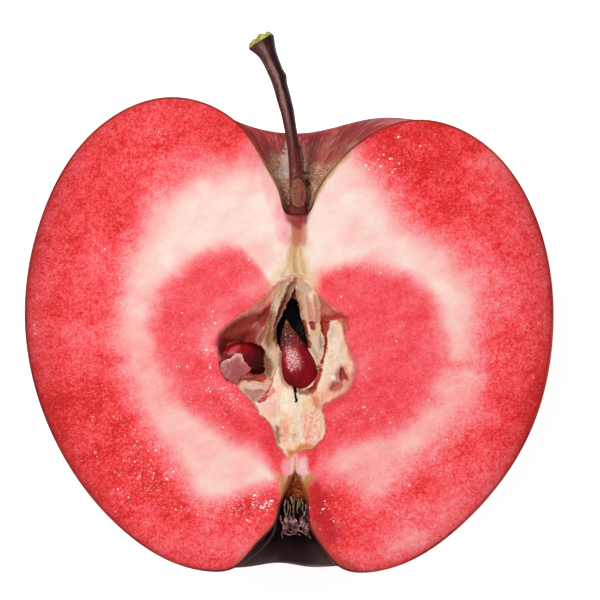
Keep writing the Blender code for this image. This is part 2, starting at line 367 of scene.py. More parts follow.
# %% Profiles of the fruit
# name: right, left and back profile as (distance from the axis, height along it), and the rows
# from there to the next station
STATIONS = {
    "cavity floor": ((0.0, 15.3), (0.0, 15.3), (0.0, 14.6), 5),
    "floor's edge": ((1.45, 15.3), (0.8, 15.25), (1.5, 14.9), 7),
    "throat": ((2.5, 17.3), (1.75, 17.3), (2.4, 16.6), 14),
    "cavity wall": ((4.95, 21.3), (3.6, 21.3), (5.2, 20.4), 14),
    "cavity lip": ((9.2, 25.25), (6.6, 26.2), (9.6, 25.3), 18),
    "shoulder": ((16.2, 27.7), (16.3, 30.7), (16.4, 27.0), 22),
    "upper side": ((25.4, 24.3), (27.0, 25.9), (25.3, 22.9), 22),
    "upper flank": ((31.8, 15.3), (33.4, 15.6), (31.5, 13.8), 30),
    "widest": ((34.3, -0.2), (35.9, 0.8), (33.9, 0.0), 30),
    "lower flank": ((31.3, -13.7), (32.2, -14.3), (30.6, -14.6), 30),
    "lower side": ((22.2, -26.1), (22.5, -27.2), (21.9, -26.6), 26),
    "calyx lobe": ((10.4, -32.4), (12.0, -32.3), (10.4, -32.6), 10),
    "basin lip": ((6.3, -32.0), (8.1, -31.9), (6.6, -31.8), 12),
    "basin wall": ((3.3, -28.8), (5.0, -28.7), (3.9, -28.6), 12),
    "basin floor": ((1.8, -26.0), (2.5, -25.8), (2.2, -25.8), 12),
    "tube": ((1.5, -23.0), (1.75, -23.0), (1.7, -23.0), 8),
    "tube neck": ((0.62, -20.7), (0.7, -20.7), (0.7, -20.7), 6),
    "tube top": ((0.0, -19.2), (0.0, -19.2), (0.0, -19.2), 0),
}
LOBES = 5
LOBE_HEIGHT = 0.35
LOBE_SPREAD = 5.0               # how far a lobe reaches along the profile, in millimetres
SWELL_RIGHT, SWELL_LEFT = 1.45, 0.35            # how much the shoulder rises halfway to the back
SWELL_SPREAD = 8.0

stations = list(STATIONS.values())
row_parts = [station[3] for station in stations[:-1]]
RIGHT, LEFT, BACK = (smooth_curve([station[k] for station in stations], row_parts) for k in range(3))
lobe_row = sum(row_parts[:list(STATIONS).index("calyx lobe")])
shoulder_row = sum(row_parts[:list(STATIONS).index("shoulder")])
ROWS = len(RIGHT)
print(f"the profiles have {ROWS} rows")


def fruit_surface(columns, inset):
    """The outside as x, y and depth arrays: rows along the profiles, columns round the back.

    radius = side profile * cos^2(turn) + back profile * sin^2(turn), and the same for the height.
    inset moves every point that far into the flesh, square to the surface.
    """
    turn = np.linspace(0.0, math.pi, columns)[None, :]
    side_share, back_share = np.cos(turn) ** 2, np.sin(turn) ** 2
    on_right = turn < 0.5 * math.pi
    radius = np.where(on_right, RIGHT[:, :1], LEFT[:, :1]) * side_share + BACK[:, :1] * back_share
    height = np.where(on_right, RIGHT[:, 1:], LEFT[:, 1:]) * side_share + BACK[:, 1:] * back_share
    reach = np.linalg.norm(BACK - BACK[lobe_row], axis=1)[:, None]
    lobe = LOBE_HEIGHT * np.exp(-(reach / LOBE_SPREAD) ** 2) * back_share
    height = height - lobe * np.cos(LOBES * turn)
    reach = np.linalg.norm(BACK - BACK[shoulder_row], axis=1)[:, None]
    swell = np.where(on_right, SWELL_RIGHT, SWELL_LEFT) * np.sin(2.0 * turn) ** 2
    height = height + swell * np.exp(-(reach / SWELL_SPREAD) ** 2)
    x, depth = radius * np.cos(turn), radius * np.sin(turn)
    depth = np.minimum(depth, CUT / UNIT)
    if inset:
        along = np.stack([np.gradient(part, axis=0) for part in (x, height, depth)], axis=-1)
        around = np.stack([np.gradient(part, axis=1) for part in (x, height, depth)], axis=-1)
        inward = np.cross(along, around)
        inward[:, [0, -1], 2] = 0.0
        inward[0], inward[-1] = (0.0, -1.0, 0.0), (0.0, 1.0, 0.0)
        inward /= np.maximum(np.linalg.norm(inward, axis=-1, keepdims=True), 1e-9)
        x, height, depth = (part + inset * inward[..., k] for k, part in enumerate((x, height, depth)))
    depth[:, [0, -1]] = 0.0
    return x, height, depth, np.broadcast_to(turn, x.shape)

# %% [markdown]
# The skin is a thin shell with a real edge: an outer surface, an inner one a quarter of a millimetre
# deeper, and a strip along the cut that joins them.  Seen from the front that edge is the fine dark
# line round the half.  The inner surface has fewer columns, because nobody sees it.

# %% The skin
SKIN = 0.25
SKIN_COLUMNS = 128
LINING_COLUMNS = 25


def half_shell(columns, inset):
    """Points of the fruit's surface with its two poles as single points, and its faces."""
    x, height, depth, turn = fruit_surface(columns, inset)
    grid = place(x, height, depth)
    points = np.concatenate([grid[:1, 0], grid[1:-1].reshape(-1, 3), grid[-1:, 0]])
    faces = grid_faces(ROWS - 2, columns, 1)[:, ::-1]
    last = 1 + (ROWS - 3) * columns
    column = np.arange(columns - 1)
    first_fan = np.stack([np.zeros_like(column), 1 + column, 2 + column], axis=-1)
    last_fan = np.stack([np.full_like(column, last + columns), last + column + 1, last + column], axis=-1)
    return points, faces, np.concatenate([first_fan, last_fan]), turn


def shell_edge(columns, side):
    """Numbers of the points along one edge of the shell, from pole to pole (side 0 or -1)."""
    middle = 1 + np.arange(ROWS - 2) * columns + (0 if side == 0 else columns - 1)
    return np.concatenate([[0], middle, [1 + (ROWS - 2) * columns]])


def keep_per_point(values, columns):
    """A grid of values in the order of half_shell's points."""
    values = np.broadcast_to(values, (ROWS, columns))
    return np.concatenate([values[:1, 0], values[1:-1].ravel(), values[-1:, 0]])


outer_points, outer_quads, outer_fans, outer_turn = half_shell(SKIN_COLUMNS, 0.0)
inner_points, inner_quads, inner_fans, inner_turn = half_shell(LINING_COLUMNS, SKIN)
shift = len(outer_points)


def skin_edge(side):
    """Faces along one edge of the cut, which join the outer surface to the inner one."""
    outer, inner = shell_edge(SKIN_COLUMNS, side), shell_edge(LINING_COLUMNS, side) + shift
    return np.stack([outer[:-1], inner[:-1], inner[1:], outer[1:]], axis=-1)


travel = np.concatenate([[0.0], np.cumsum(np.linalg.norm(np.diff(BACK, axis=0), axis=1))])
print(f"the back profile is {travel[-1]:.0f} mm long")

# %% [markdown]
# The skin is painted by where a point lies along the profile.  `along` is the way from the cavity
# floor in millimetres: russet fades out over the first fifteen, and the basin at the other end is
# nearly black.  Fine streaks run from stalk to calyx, so they are noise on the turn and the way
# along, stretched lengthwise; pale pores are scattered on the flanks.

# %% The finish of the skin
RUSSET_END = travel[sum(row_parts[:3]) + 8]
BASIN_START = travel[lobe_row]
TUBE_START = travel[-1] - 3.6   # the last few millimetres of the tube are tan
CREST = travel[int(np.argmax(BACK[:, 1]))]
print(f"the crest is {CREST:.1f} mm along; russet ends {RUSSET_END:.1f} mm along")


def oval(x, y, middle_x, middle_y, per_x, per_y):
    """0 in the middle of an oval and 1 on its rim: ((x - middle_x) * per_x)^2, plus the same for y.

    per_x and per_y are one over the oval's half widths.
    """
    return ((x - middle_x) * per_x) ** 2.0 + ((y - middle_y) * per_y) ** 2.0


skin = Finish("apple skin")
along, turned = skin.attribute("along"), skin.attribute("turned")
x, y, z = skin.axes()
lie = skin.node("ShaderNodeCombineXYZ", {}, {"X": turned, "Y": along * 0.012})
streak = skin.grain(9.0, 4.0, 0.6, lie).step(0.3, 0.7)
fine_streak = skin.grain(34.0, 3.0, 0.6, lie).step(0.35, 0.7)
blush = skin.grain(160.0, 3.0).step(0.3, 0.7)
red = skin.ramp(streak * 0.45 + fine_streak * 0.2 + blush * 0.35, [
    (0.0, (84, 8, 14)), (0.35, (122, 16, 22)), (0.6, (148, 26, 30)), (0.85, (172, 46, 42)),
    (1.0, (188, 92, 70))])
pores = 1.0 - skin.cells(330.0).step(0.05, 0.10)
pored = skin.blend(pores * 0.75, red, tone(206, 160, 112))
scurf = skin.grain(2300.0, 3.0, 0.7, skin.stretched((0.75, 1.2, 1.0), turn=0.5))
russet_tone = skin.ramp(scurf, [
    (0.32, (104, 66, 48)), (0.45, (148, 106, 78)), (0.54, (180, 140, 108)), (0.66, (226, 196, 160))])
russet = (along + scurf * 8.0 + blush * 5.0).step(RUSSET_END + 8.2, RUSSET_END + 4.4)
russeted = skin.blend(russet * 0.92, pored, russet_tone)
# a smear of grey bloom behind the stalk: a long patch beside it and a short one across
smear = oval(x, y, -0.0011, 0.0229, 1300.0, 480.0)
dab = oval(x, y, -0.0018, 0.0206, 800.0, 1700.0)
ragged = (scurf - 0.5) * 6.0
bloom_share = (smear + ragged).step(1.6, 0.2) * 0.62 + (dab + ragged).step(1.5, 0.0) * 0.5
within = along.step(CREST + 1.0, CREST - 1.0)
bloomed = skin.blend(bloom_share * within, russeted, tone(204, 190, 182))
# painted sheen in pale streaks over the cavity skin, which is also dulled a little, and a painted sheen
# along the crest behind the stalk
wavy = along + streak * 4.0
in_cavity = wavy.step(CREST + 7.0, CREST - 2.0)
sheen_streak = fine_streak.step(0.35, 0.95) * streak.step(0.2, 0.9)
dulled_and_sheened = skin.blend(in_cavity * (0.12 + sheen_streak * 0.42), bloomed, tone(192, 140, 138))
# painted sheen along the crest, strongest near the cut face
crest = (along + streak * 2.2 + (fine_streak - 0.5)).step(CREST - 3.4, CREST + 0.8)
over = wavy.step(CREST + 7.0, CREST + 0.5)
near_cut = z.step(CUT - 0.012, CUT - 0.001)
crest_sheened = skin.blend(crest * over * (0.24 + near_cut * 0.34), dulled_and_sheened, tone(196, 146, 146))
# the painted shadow of the stalk in a strip beside it, painted shade in the hollow by its foot, and a real
# dark crack
strip = oval(x + (y - 0.0245) * 0.09, y, 0.00075, 0.0229, 3300.0, 430.0)
shade_by_foot = oval(x, y, 0.00155, 0.0194, 2300.0, 1400.0)
crack = oval(x, y + x * 0.2, 0.0014, 0.0212, 1400.0, 5500.0)
shadow_and_crack_share = sum((mark + ragged * 0.3).step(1.3, 0.6) * share
                 for mark, share in ((strip, 0.75), (shade_by_foot, 0.9), (crack, 0.7)))
shadowed_and_cracked = skin.blend(shadow_and_crack_share * within, crest_sheened, tone(58, 34, 30))
darkened = skin.blend((along + scurf).step(3.4, 2.0), shadowed_and_cracked, tone(98, 36, 34))
basin = (along - blush * 2.0).step(BASIN_START - 4.0, BASIN_START + 3.0)
basin_dark = skin.ramp(fine_streak * 0.12 + scurf * 0.18 + blush * 0.7, [
    (0.2, (14, 5, 6)), (0.5, (26, 11, 12)), (0.8, (46, 26, 27))])
# painted light in the basin: a soft grey-purple sheen towards its rim, and thin painted highlights along a
# fold and along its right rim
basin_sheen = (along + blush * 4.0).step(BASIN_START + 12.0, BASIN_START + 2.5)
below = (y + 0.0260) * 1000.0
ridge_off = (x + 0.0026) * 1000.0 + below * below * 0.14
to_side = 0.35 + (x * x).step(0.0, 0.00001) * 0.65
rim_off = (x - 0.0022) * 870.0 + (y + 0.0264) * 500.0
basin_sheened = skin.blend(basin_sheen * to_side * 0.8, basin_dark, tone(98, 74, 78))
deep_in = along.step(BASIN_START + 2.0, BASIN_START + 5.0) * z.step(CUT - 0.0055, CUT - 0.0025) * 0.36
ridge_highlighted = skin.blend((ridge_off * ridge_off).step(0.05, 0.0) * deep_in, basin_sheened, tone(132, 104, 108))
basin_with_painted_light = skin.blend((rim_off * rim_off).step(0.04, 0.0) * deep_in, ridge_highlighted, tone(140, 116, 118))
based = skin.blend(basin, darkened, basin_with_painted_light)
tube = (along + scurf * 2.0).step(TUBE_START, TUBE_START + 1.6)
tubed = skin.blend(tube, based, skin.ramp(scurf, [
    (0.35, (92, 32, 18)), (0.5, (142, 58, 28)), (0.68, (186, 112, 60))]))
# the cut edge of the skin itself
rim_red = skin.ramp(blush, [(0.0, (140, 34, 32)), (1.0, (178, 66, 54))])
rim_tone = skin.blend(russet, rim_red, skin.ramp(blush, [(0.0, (132, 74, 48)), (1.0, (176, 124, 66))]))
edge_tone = skin.blend(along.step(3.6, 2.2), rim_tone, tone(104, 30, 33))
edge_share = z.step(CUT - 0.00030, CUT - 0.00004)
off_edge = z.step(CUT - 0.0003, CUT - 0.0012)
dark_edge = skin.blend(tube, tone(92, 44, 38), tone(132, 70, 36))
skin.set(Base_Color=skin.blend(edge_share, tubed, skin.blend(basin, edge_tone, dark_edge)),
         Roughness=0.34 + russet * 0.35, Specular_IOR_Level=0.0, Coat_Roughness=0.14,
         Coat_Weight=along.step(RUSSET_END + 13.0, RUSSET_END + 24.0) * (1.0 - basin) * off_edge,
         Normal=skin.bump(scurf * (russet + 0.08), 0.0002))
print("the skin is painted by", len(skin.tree.nodes), "nodes")

# %% Make the skin
skin_piece = make_piece(
    "apple_skin", np.concatenate([outer_points, inner_points]),
    [outer_quads, outer_fans, inner_quads[:, ::-1] + shift, inner_fans[:, ::-1] + shift,
     skin_edge(0), skin_edge(-1)[:, ::-1]], skin.material)
for label, outer, inner in (("along", travel[:, None], travel[:, None]), ("turned", outer_turn, inner_turn)):
    store(skin_piece, label, np.concatenate([
        keep_per_point(outer, SKIN_COLUMNS), keep_per_point(inner, LINING_COLUMNS)]))

# %% [markdown]
# The flesh shows a pale ring inside a red rim, with a red heart in the ring.  Its pattern turns round
# a point just below the middle: by direction, how far out the pale ring begins and ends, how pale it
# gets, and how red the heart and the rim are.  From these comes one number for every point, its
# paleness, and the finish turns that number into colour.

# %% How pale the flesh is
RING_CENTRE = (0.0, -2.3)
INNER_EDGE = {0: 20, 12: 19.5, 20: 19, 36: 16.7, 48: 14.3, 60: 12.4, 72: 8.6, 80: 7, 98: 6.5, 110: 8.6,
    120: 14.2, 132: 16.8, 144: 17.9, 156: 18.9, 168: 19.2, 185: 17.8, 204: 16.6, 215: 15.9, 228: 14.6,
    240: 14.8, 248: 14.4, 256: 15.4, 264: 17.4, 270: 14.6, 275: 17, 283: 15, 292: 14, 302: 14.6, 315: 16.5,
    330: 18.6, 348: 19}
OUTER_EDGE = {0: 25, 12: 24.8, 24: 24.6, 36: 23.4, 48: 22.5, 60: 24.5, 72: 26.6, 90: 26.4, 108: 25.2,
    120: 26.8, 132: 26.6, 144: 25.2, 156: 25, 168: 24.4, 180: 23.6, 192: 22.9, 204: 22.3, 216: 22.3,
    228: 22.9, 240: 24.2, 252: 20.4, 270: 17.9, 285: 18.4, 300: 22.8, 312: 22.2, 324: 23, 336: 24.6,
    348: 25.2}
PALEST = {0: 0.72, 12: 0.84, 24: 0.88, 45: 0.88, 60: 0.93, 76: 0.98, 104: 0.98, 136: 0.94, 150: 0.9,
    165: 0.78, 182: 0.72, 212: 0.76, 240: 0.82, 270: 0.85, 285: 0.6, 300: 0.7, 316: 0.74, 344: 0.68}
HEART = {0: 0.26, 30: 0.25, 60: 0.3, 76: 0.5, 90: 0.6, 106: 0.56, 120: 0.38, 136: 0.24, 182: 0.26, 212: 0.2,
    240: 0.13, 262: 0.08, 270: 0.34, 278: 0.08, 302: 0.15, 330: 0.2}
RED_RIM = {0: 0.19, 15: 0.22, 45: 0.15, 60: 0.08, 90: 0.12, 105: 0.16, 120: 0.17, 150: 0.18, 180: 0.22,
    196: 0.1, 225: 0.18, 255: 0.2, 270: 0.12, 302: 0.33, 322: 0.28, 344: 0.16}
OUTER_FADE = {0: 3, 24: 4.4, 40: 4.6, 60: 4.4, 76: 3, 112: 3, 126: 4.4, 142: 3.4, 160: 3, 270: 2.8,
    300: 3.2, 330: 3}
INNER_FADE = 1.9
# blushes of more or less red: x and y of the middle, reach along and across, the way it lies in
# degrees, and the paleness added
BLUSHES = [
    (-15, 19.6, 5, 2, 10, -0.13), (-17.5, 22.6, 3.6, 1.6, 20, 0.1), (-19.8, 13.6, 3.2, 2, 60, -0.04),
    (-12, 10.2, 3, 1.6, 20, -0.12), (-5.2, 10, 2, 1.3, 80, -0.18), (3.4, 7.2, 1.8, 1.2, 60, -0.26),
    (-24.5, 22.5, 4, 1.5, 55, -0.1), (-12.5, 27, 4.5, 1.4, -15, -0.08), (-31, 5, 5, 1.6, 80, -0.12),
    (-24, 4.6, 2.6, 1.2, 60, -0.11), (-26.5, 8.8, 2.4, 1.6, 30, 0.07), (-22.5, 13.2, 4, 0.8, 35, -0.09),
    (-27, -0.3, 4, 1.3, 5, 0.1), (-24, -4.6, 2.6, 1, 10, -0.13), (-22.6, -9.6, 3.4, 1.8, 80, 0.1),
    (-31, -9.8, 3.8, 1.4, 10, -0.12), (-27.6, -13.6, 2.2, 1.3, 40, 0.06), (-23.4, -12.6, 2, 0.9, 45, -0.07),
    (-29.2, -16.8, 2, 1.2, 60, 0.06), (-21, -14.8, 2.6, 1, 50, 0.08), (-17.6, -21, 3.6, 1.3, -40, -0.12),
    (-14, -25.2, 2.6, 1.5, -60, -0.13), (-20.5, -24.5, 2.4, 1, -40, 0.05),
    (-11.5, -28.6, 5, 1.9, -10, 0.13), (-5.6, -27.6, 2.4, 1.2, 50, 0.09),
    (-6.6, -23.4, 2.4, 1.4, 10, -0.08), (14.6, -28.6, 3.4, 1.6, 25, 0.2), (7.6, -29.8, 2.4, 1.4, 10, 0.08),
    (20.4, -23.8, 3.6, 1.2, 50, 0.06), (17.2, -20.8, 2.6, 1.6, 40, -0.15), (13, -23.4, 2.2, 1.2, 40, -0.07),
    (6.2, -18.4, 2.6, 1.4, 20, 0.08), (24.4, -14.5, 2.2, 1.2, 70, 0.05), (31.6, -9.5, 4.2, 1.4, 80, -0.1),
    (25, -1.6, 2, 1.2, 60, -0.09), (26.8, 6.4, 5, 1.7, 110, 0.2), (27.2, 10.2, 2.2, 1.2, 120, -0.1),
    (23.8, 11.6, 2.6, 1.2, 140, 0.12), (21.6, 16.2, 2.4, 1.6, 20, -0.08), (26, 19.6, 4.2, 1.6, 125, 0.1),
    (14.4, 23.2, 3.6, 2.2, -30, -0.06), (20, 21.6, 2.2, 2, 0, -0.06), (21.4, -4.8, 2.4, 0.9, 0, -0.22),
    (13.2, -5, 3.2, 1.4, 20, -0.11), (12, 4, 2.4, 1.2, 60, -0.07), (18.2, -2, 1.4, 1.8, 0, 0.08),
    (-12.8, 0, 1.8, 3.4, 0, 0.02), (-9.8, 2.6, 3, 0.9, 42, 0.2), (-5.6, 5.6, 2.6, 0.9, 42, 0.15),
    (-11.4, -2.2, 1, 2.4, 0, 0.34), (-9.9, 0.6, 1.4, 0.9, 50, 0.18), (-9.6, -8, 2.6, 0.9, -48, 0.22),
    (-6.2, -11.4, 2.2, 0.8, -52, 0.18), (8.8, -5.4, 1, 3, 0, 0.22), (6.4, -10.4, 2.2, 0.9, 40, 0.12),
    (5.6, 4.6, 1.6, 0.9, -40, -0.06), (-3.4, 10, 2.4, 1.4, 90, -0.13), (-21.5, 12, 4, 1.8, 70, 0.06),
    (-3, -19.7, 1.8, 0.8, -30, 0.38), (7, 19.5, 2.5, 2, 0, -0.08), (18.5, 12.6, 2, 1.5, 0, -0.09),
    (21.5, 0.4, 2, 1.5, 0, 0.07), (13.4, -20, 3, 1.6, 20, 0.07), (9.5, -23, 1.8, 1.4, 0, 0.09),
    (-12.2, -26, 2.2, 1.4, 0, 0.1), (-12.2, 21.6, 2.2, 1.6, 0, 0.08), (-6.2, 19, 1.8, 1.6, 50, -0.14),
    (9.4, 25, 3, 1.4, -20, 0.08), (3.2, -22.8, 1.6, 1.4, 90, -0.08), (-16, -8, 2, 3, 0, 0.05),
    (15, -28.9, 4, 1.2, 20, 0.06), (-18, 16.2, 2.4, 1.8, 0, 0.14), (26.8, 22.4, 2.4, 1.4, -50, 0.18),
    (6, -23.4, 2.2, 2, 0, -0.13), (-4.6, -23.2, 2.8, 1.6, 0, -0.1), (-9, 25, 2, 1.4, 0, 0.08),
    (-3.2, 25, 2, 1.4, 0, -0.08), (-9, -11.2, 1.6, 1.4, 0, -0.12), (-11.6, -5.2, 1.4, 1.8, 0, -0.16),
    (8.8, -6, 1.2, 2, 0, -0.1), (9.4, -11.2, 1.8, 1.4, 0, -0.08), (-6, 4.6, 1.6, 1.2, 40, 0.1),
    (18.6, 4.4, 1.8, 1.6, 0, 0.07), (-18, 1.6, 1.8, 2, 0, 0.06), (27.4, -20, 2, 2, 0, 0.1),
    (-24, -4.8, 2, 1, 0, -0.06), (33, -7, 1.4, 4, 0, -0.1), (27, -23, 3, 1.6, 50, 0.1),
    (27, 21.6, 2, 1.4, -50, 0.12), (-4, -18.9, 1.8, 1.1, -20, -0.2), (-15, 25, 2, 1.4, 0, -0.04),
    (24, 26, 3, 1.4, -30, 0.08)]


def paleness(x, y):
    """0 in the reddest flesh, 1 in the whitest.

    paleness = heart + (palest - heart) * rise at the inner edge, then falling to the rim's own value
    at the outer edge; the distance from the centre wavers, with streaks that point outwards.  Each
    blush adds change * exp(-(along / reach)^2 - (across / width)^2).
    """
    x, y = np.asarray(x, float), np.asarray(y, float)
    across, up = x - RING_CENTRE[0], y - RING_CENTRE[1]
    far = np.hypot(across, up)
    way = np.degrees(np.arctan2(up, across)) % 360.0
    streaks = rough(way / 2.4, far / 6.0, 1.0, 11, 3) * 0.22 + rough(x, y, 3.5, 21, 4) * 0.5
    wavering = far + streaks
    inner, outer = round_the_clock(INNER_EDGE, way), round_the_clock(OUTER_EDGE, way)
    rise = ease(inner - INNER_FADE, inner + INNER_FADE, wavering)
    outer_fade = round_the_clock(OUTER_FADE, way)
    fall = ease(outer - outer_fade, outer + outer_fade, wavering)
    heart, palest, red_rim = (round_the_clock(entries, way) for entries in (HEART, PALEST, RED_RIM))
    total = heart + (palest - heart) * rise + (red_rim - palest) * fall + 0.05 * rough(x, y, 2.4, 31, 4)
    total = total + 0.04 * rough(0.9 * x + 0.5 * y, (y - 0.5 * x) * 2.6, 3.0, 36, 3)
    for mid_x, mid_y, reach, width, lies, change in BLUSHES:
        turn = math.radians(lies)
        down = (x - mid_x + streaks) * math.cos(turn) + (y - mid_y) * math.sin(turn)
        side = (y - mid_y + streaks) * math.cos(turn) - (x - mid_x) * math.sin(turn)
        total = total + change * np.exp(-(down / reach) ** 2 - (side / width) ** 2)
    return total


# where painted glints of wet cells lie thickest: middle, reach and how much
GLINT_PLACES = [
    ((-17, -18), 8, 0.9), ((-7, -22.5), 4, 1), ((-28, -8), 6, 0.5), ((-27, 8), 6, 0.3), ((12, 21), 5, 0.7),
    ((-18, 26), 6, 0.4), ((22, 4), 6, 0.3), ((3.5, -23), 2.5, 0.5), ((9, -12), 4, 0.5),
    ((-11.2, -3), 2, 1.3), ((-8, -9), 2.2, 1.2), ((16, -22), 5, 0.3)]


def glint_density_at(x, y):
    """How thickly the painted glints of wet cells lie: the sum of how much * exp(-(distance / reach)^2)."""
    return sum(much * np.exp(-((x - at_x) ** 2 + (y - at_y) ** 2) / reach ** 2)
               for (at_x, at_y), reach, much in GLINT_PLACES)


HEART_GRAIN = 0.68


def graininess(x, y):
    """How grainy the cut is: less in the heart, and 1 in the rim."""
    far = np.hypot(x - RING_CENTRE[0], y - RING_CENTRE[1])
    return HEART_GRAIN + (1.0 - HEART_GRAIN) * ease(17.0, 23.0, far)


print("paleness at the ring's left side:", round(float(paleness(-21.0, -2.3)), 2))

# %% [markdown]
# The body of flesh is one closed solid.  Its cut face is a set of straight spokes from the outline of
# the core to the outline of the fruit; behind it lies the skin's lining, and the core sits in a bowl.

# %% Outlines of the cut face
CORE_OUTLINE = [
    (0, 7.3), (-2.6, 6.2), (-7.2, 2.5), (-10.7, -0.1), (-11.3, -3.2), (-10, -6.2), (-6.7, -10.1),
    (-3.7, -13.3), (-2.5, -16.5), (0.2, -17.5), (3.4, -16.8), (4.7, -13.4), (4.9, -10.9), (7.6, -8.7),
    (8.6, -5.7), (7.9, -2), (7.5, 1.2), (4.5, 3.9), (1.9, 6.4)]
CORE_HUB = (0.0, -3.5)
BED = 0.12                      # how deep the flesh starts inside the skin, in millimetres


def from_hub(x, y):
    """Direction in radians and distance in millimetres of points as seen from the hub."""
    across, up = x - CORE_HUB[0], y - CORE_HUB[1]
    return np.arctan2(up, across), np.hypot(across, up)


def about_hub(x, y, share):
    """Points drawn in towards the hub: hub + (point - hub) * share."""
    return [hub + (part - hub) * share for hub, part in zip(CORE_HUB, (x, y))]


core_way, core_far = from_hub(*smooth_loop(CORE_OUTLINE, 12).T)


def core_reach(way):
    """How far the core's outline is from its hub, by direction in radians."""
    return np.interp(way, core_way, core_far, period=2.0 * math.pi)


lining_x, lining_y = fruit_surface(LINING_COLUMNS, BED)[:2]
rim_x = np.concatenate([lining_x[:, 0], lining_x[-2:0:-1, -1]])
rim_y = np.concatenate([lining_y[:, 0], lining_y[-2:0:-1, -1]])
rim_way = np.minimum.accumulate(np.unwrap(from_hub(rim_x, rim_y)[0]))
# a small share of evenly spaced directions keeps any two spokes apart where the rim turns back on itself
EVEN_SHARE = 0.03
even_way = np.linspace(rim_way[0], rim_way[0] - 2.0 * math.pi, len(rim_way), endpoint=False)
rim_way = rim_way * (1.0 - EVEN_SHARE) + even_way * EVEN_SHARE
print("points round the cut face:", len(rim_x))

# %% [markdown]
# The flesh near the outline darkens over the last millimetre, so every point also gets its nearness
# to the skin.  Away from the ring there are places with a colour of their own, such as the yellow
# bundle of veins under the stalk and the tissue round the calyx tube.  Each is a soft patch: a line
# of points with a width, a colour and a strength, laid over what is below it.

# %% Patches of other colours
# points along the patch in millimetres, its half width, colour and strength
PATCHES = [
    ([(0.3, 13.6), (0.3, 11), (0.2, 6.6)], 1.7, (238, 178, 148), 0.55),
    ([(0.3, 12), (0.1, 9.5), (0, 6.8)], 1, (214, 168, 110), 0.6),
    ([(-0.2, 10), (-1.2, 7.8), (-3, 5.4)], 0.9, (232, 196, 146), 0.45),
    ([(0.4, 10), (1.4, 7.8), (2.6, 5.6)], 0.9, (234, 198, 148), 0.45),
    ([(0.1, 11), (-0.1, 9), (0.1, 7)], 0.3, (176, 130, 64), 0.6),
    ([(0.7, 10.8), (0.8, 9.4), (1.3, 7.4)], 0.24, (204, 160, 96), 0.5),
    ([(-0.4, 10.4), (-0.8, 8.6), (-1.7, 6.9)], 0.24, (204, 158, 98), 0.5),
    ([(-1.7, 15.4), (-1.6, 14), (-1.3, 12)], 1, (254, 150, 162), 0.55),
    ([(0.3, 14.6), (0.2, 13), (0.2, 11.8)], 1.05, (190, 96, 76), 0.85),
    ([(-0.7, 14.4), (0.3, 13.8), (1.1, 14.4)], 0.7, (154, 44, 46), 0.9),
    ([(-1, 15.2), (0.2, 15), (1.5, 15.2)], 0.42, (104, 28, 32), 0.95),
    ([(1.4, 13.8), (1.2, 11.2)], 0.35, (206, 130, 104), 0.6),
    ([(1.55, 15), (1.5, 13.9)], 0.16, (100, 54, 42), 0.8),
    ([(2.1, 16.2), (2.9, 17.9), (4.1, 19.9), (5.4, 21.6), (7, 23)], 0.36, (206, 158, 92), 0.7),
    ([(-1.7, 15.6), (-2.1, 17.2), (-3, 19.2), (-4.1, 21.2), (-5.8, 23.6)], 1.5, (248, 150, 156), 0.5),
    ([(-1, -18), (-0.9, -19.2)], 0.7, (255, 168, 172), 0.75),
    ([(1, -17.9), (1.1, -18.9), (1.3, -19.6)], 0.75, (250, 196, 192), 0.85),
    ([(-0.05, -17.4), (-0.05, -19.3)], 0.5, (240, 208, 184), 0.7),
    ([(-0.05, -17.2), (-0.05, -19.3)], 0.13, (190, 120, 84), 0.85),
    ([(-2.8, -19.2), (-1.9, -20.1)], 0.45, (226, 150, 110), 0.45),
    ([(2.6, -19.6), (1.8, -20.3)], 0.45, (204, 140, 92), 0.45),
    ([(-1.8, -20), (-1.5, -21), (-1.6, -22.4)], 0.55, (184, 140, 62), 0.8),
    ([(-1.45, -20.9), (-1.6, -22.2)], 0.3, (150, 128, 50), 0.6),
    ([(1.8, -20), (1.45, -21), (1.6, -22.3)], 0.55, (172, 136, 58), 0.8),
    ([(1.4, -20.7), (1.5, -22)], 0.32, (168, 146, 52), 0.7),
    ([(-0.55, -19.9), (-1.05, -21.2), (-1.5, -22.7)], 0.38, (134, 82, 34), 0.95),
    ([(0.5, -19.9), (0.95, -21.2), (1.4, -22.5)], 0.34, (150, 94, 36), 0.95),
    ([(-2, -23.4), (-2.5, -25.6)], 0.3, (140, 40, 40), 0.85),
    ([(2.6, -21.8), (3.3, -24.6), (4.8, -27.6)], 1.5, (190, 24, 34), 0.8),
    ([(-2.6, -26.2), (-3.8, -27.8), (-5.4, -29.8), (-8, -31.8)], 0.7, (202, 104, 84), 0.7),
    ([(2.3, -26.2), (3.1, -27.9), (4.8, -30.2), (8, -32)], 0.6, (186, 66, 54), 0.75)]


def line_distance(x, y, points):
    """Distance in millimetres to a line through the points: the least over its straight parts."""
    best = np.full(np.shape(x), np.inf)
    for (ax, ay), (bx, by) in zip(points[:-1], points[1:]):
        dx, dy = bx - ax, by - ay
        share = np.clip(((x - ax) * dx + (y - ay) * dy) / (dx * dx + dy * dy), 0.0, 1.0)
        best = np.minimum(best, (x - ax - share * dx) ** 2 + (y - ay - share * dy) ** 2)
    return np.sqrt(best)


def tint(colour):
    """A screen colour as the three linear numbers that points keep."""
    return np.array(tone(*colour)[:3])


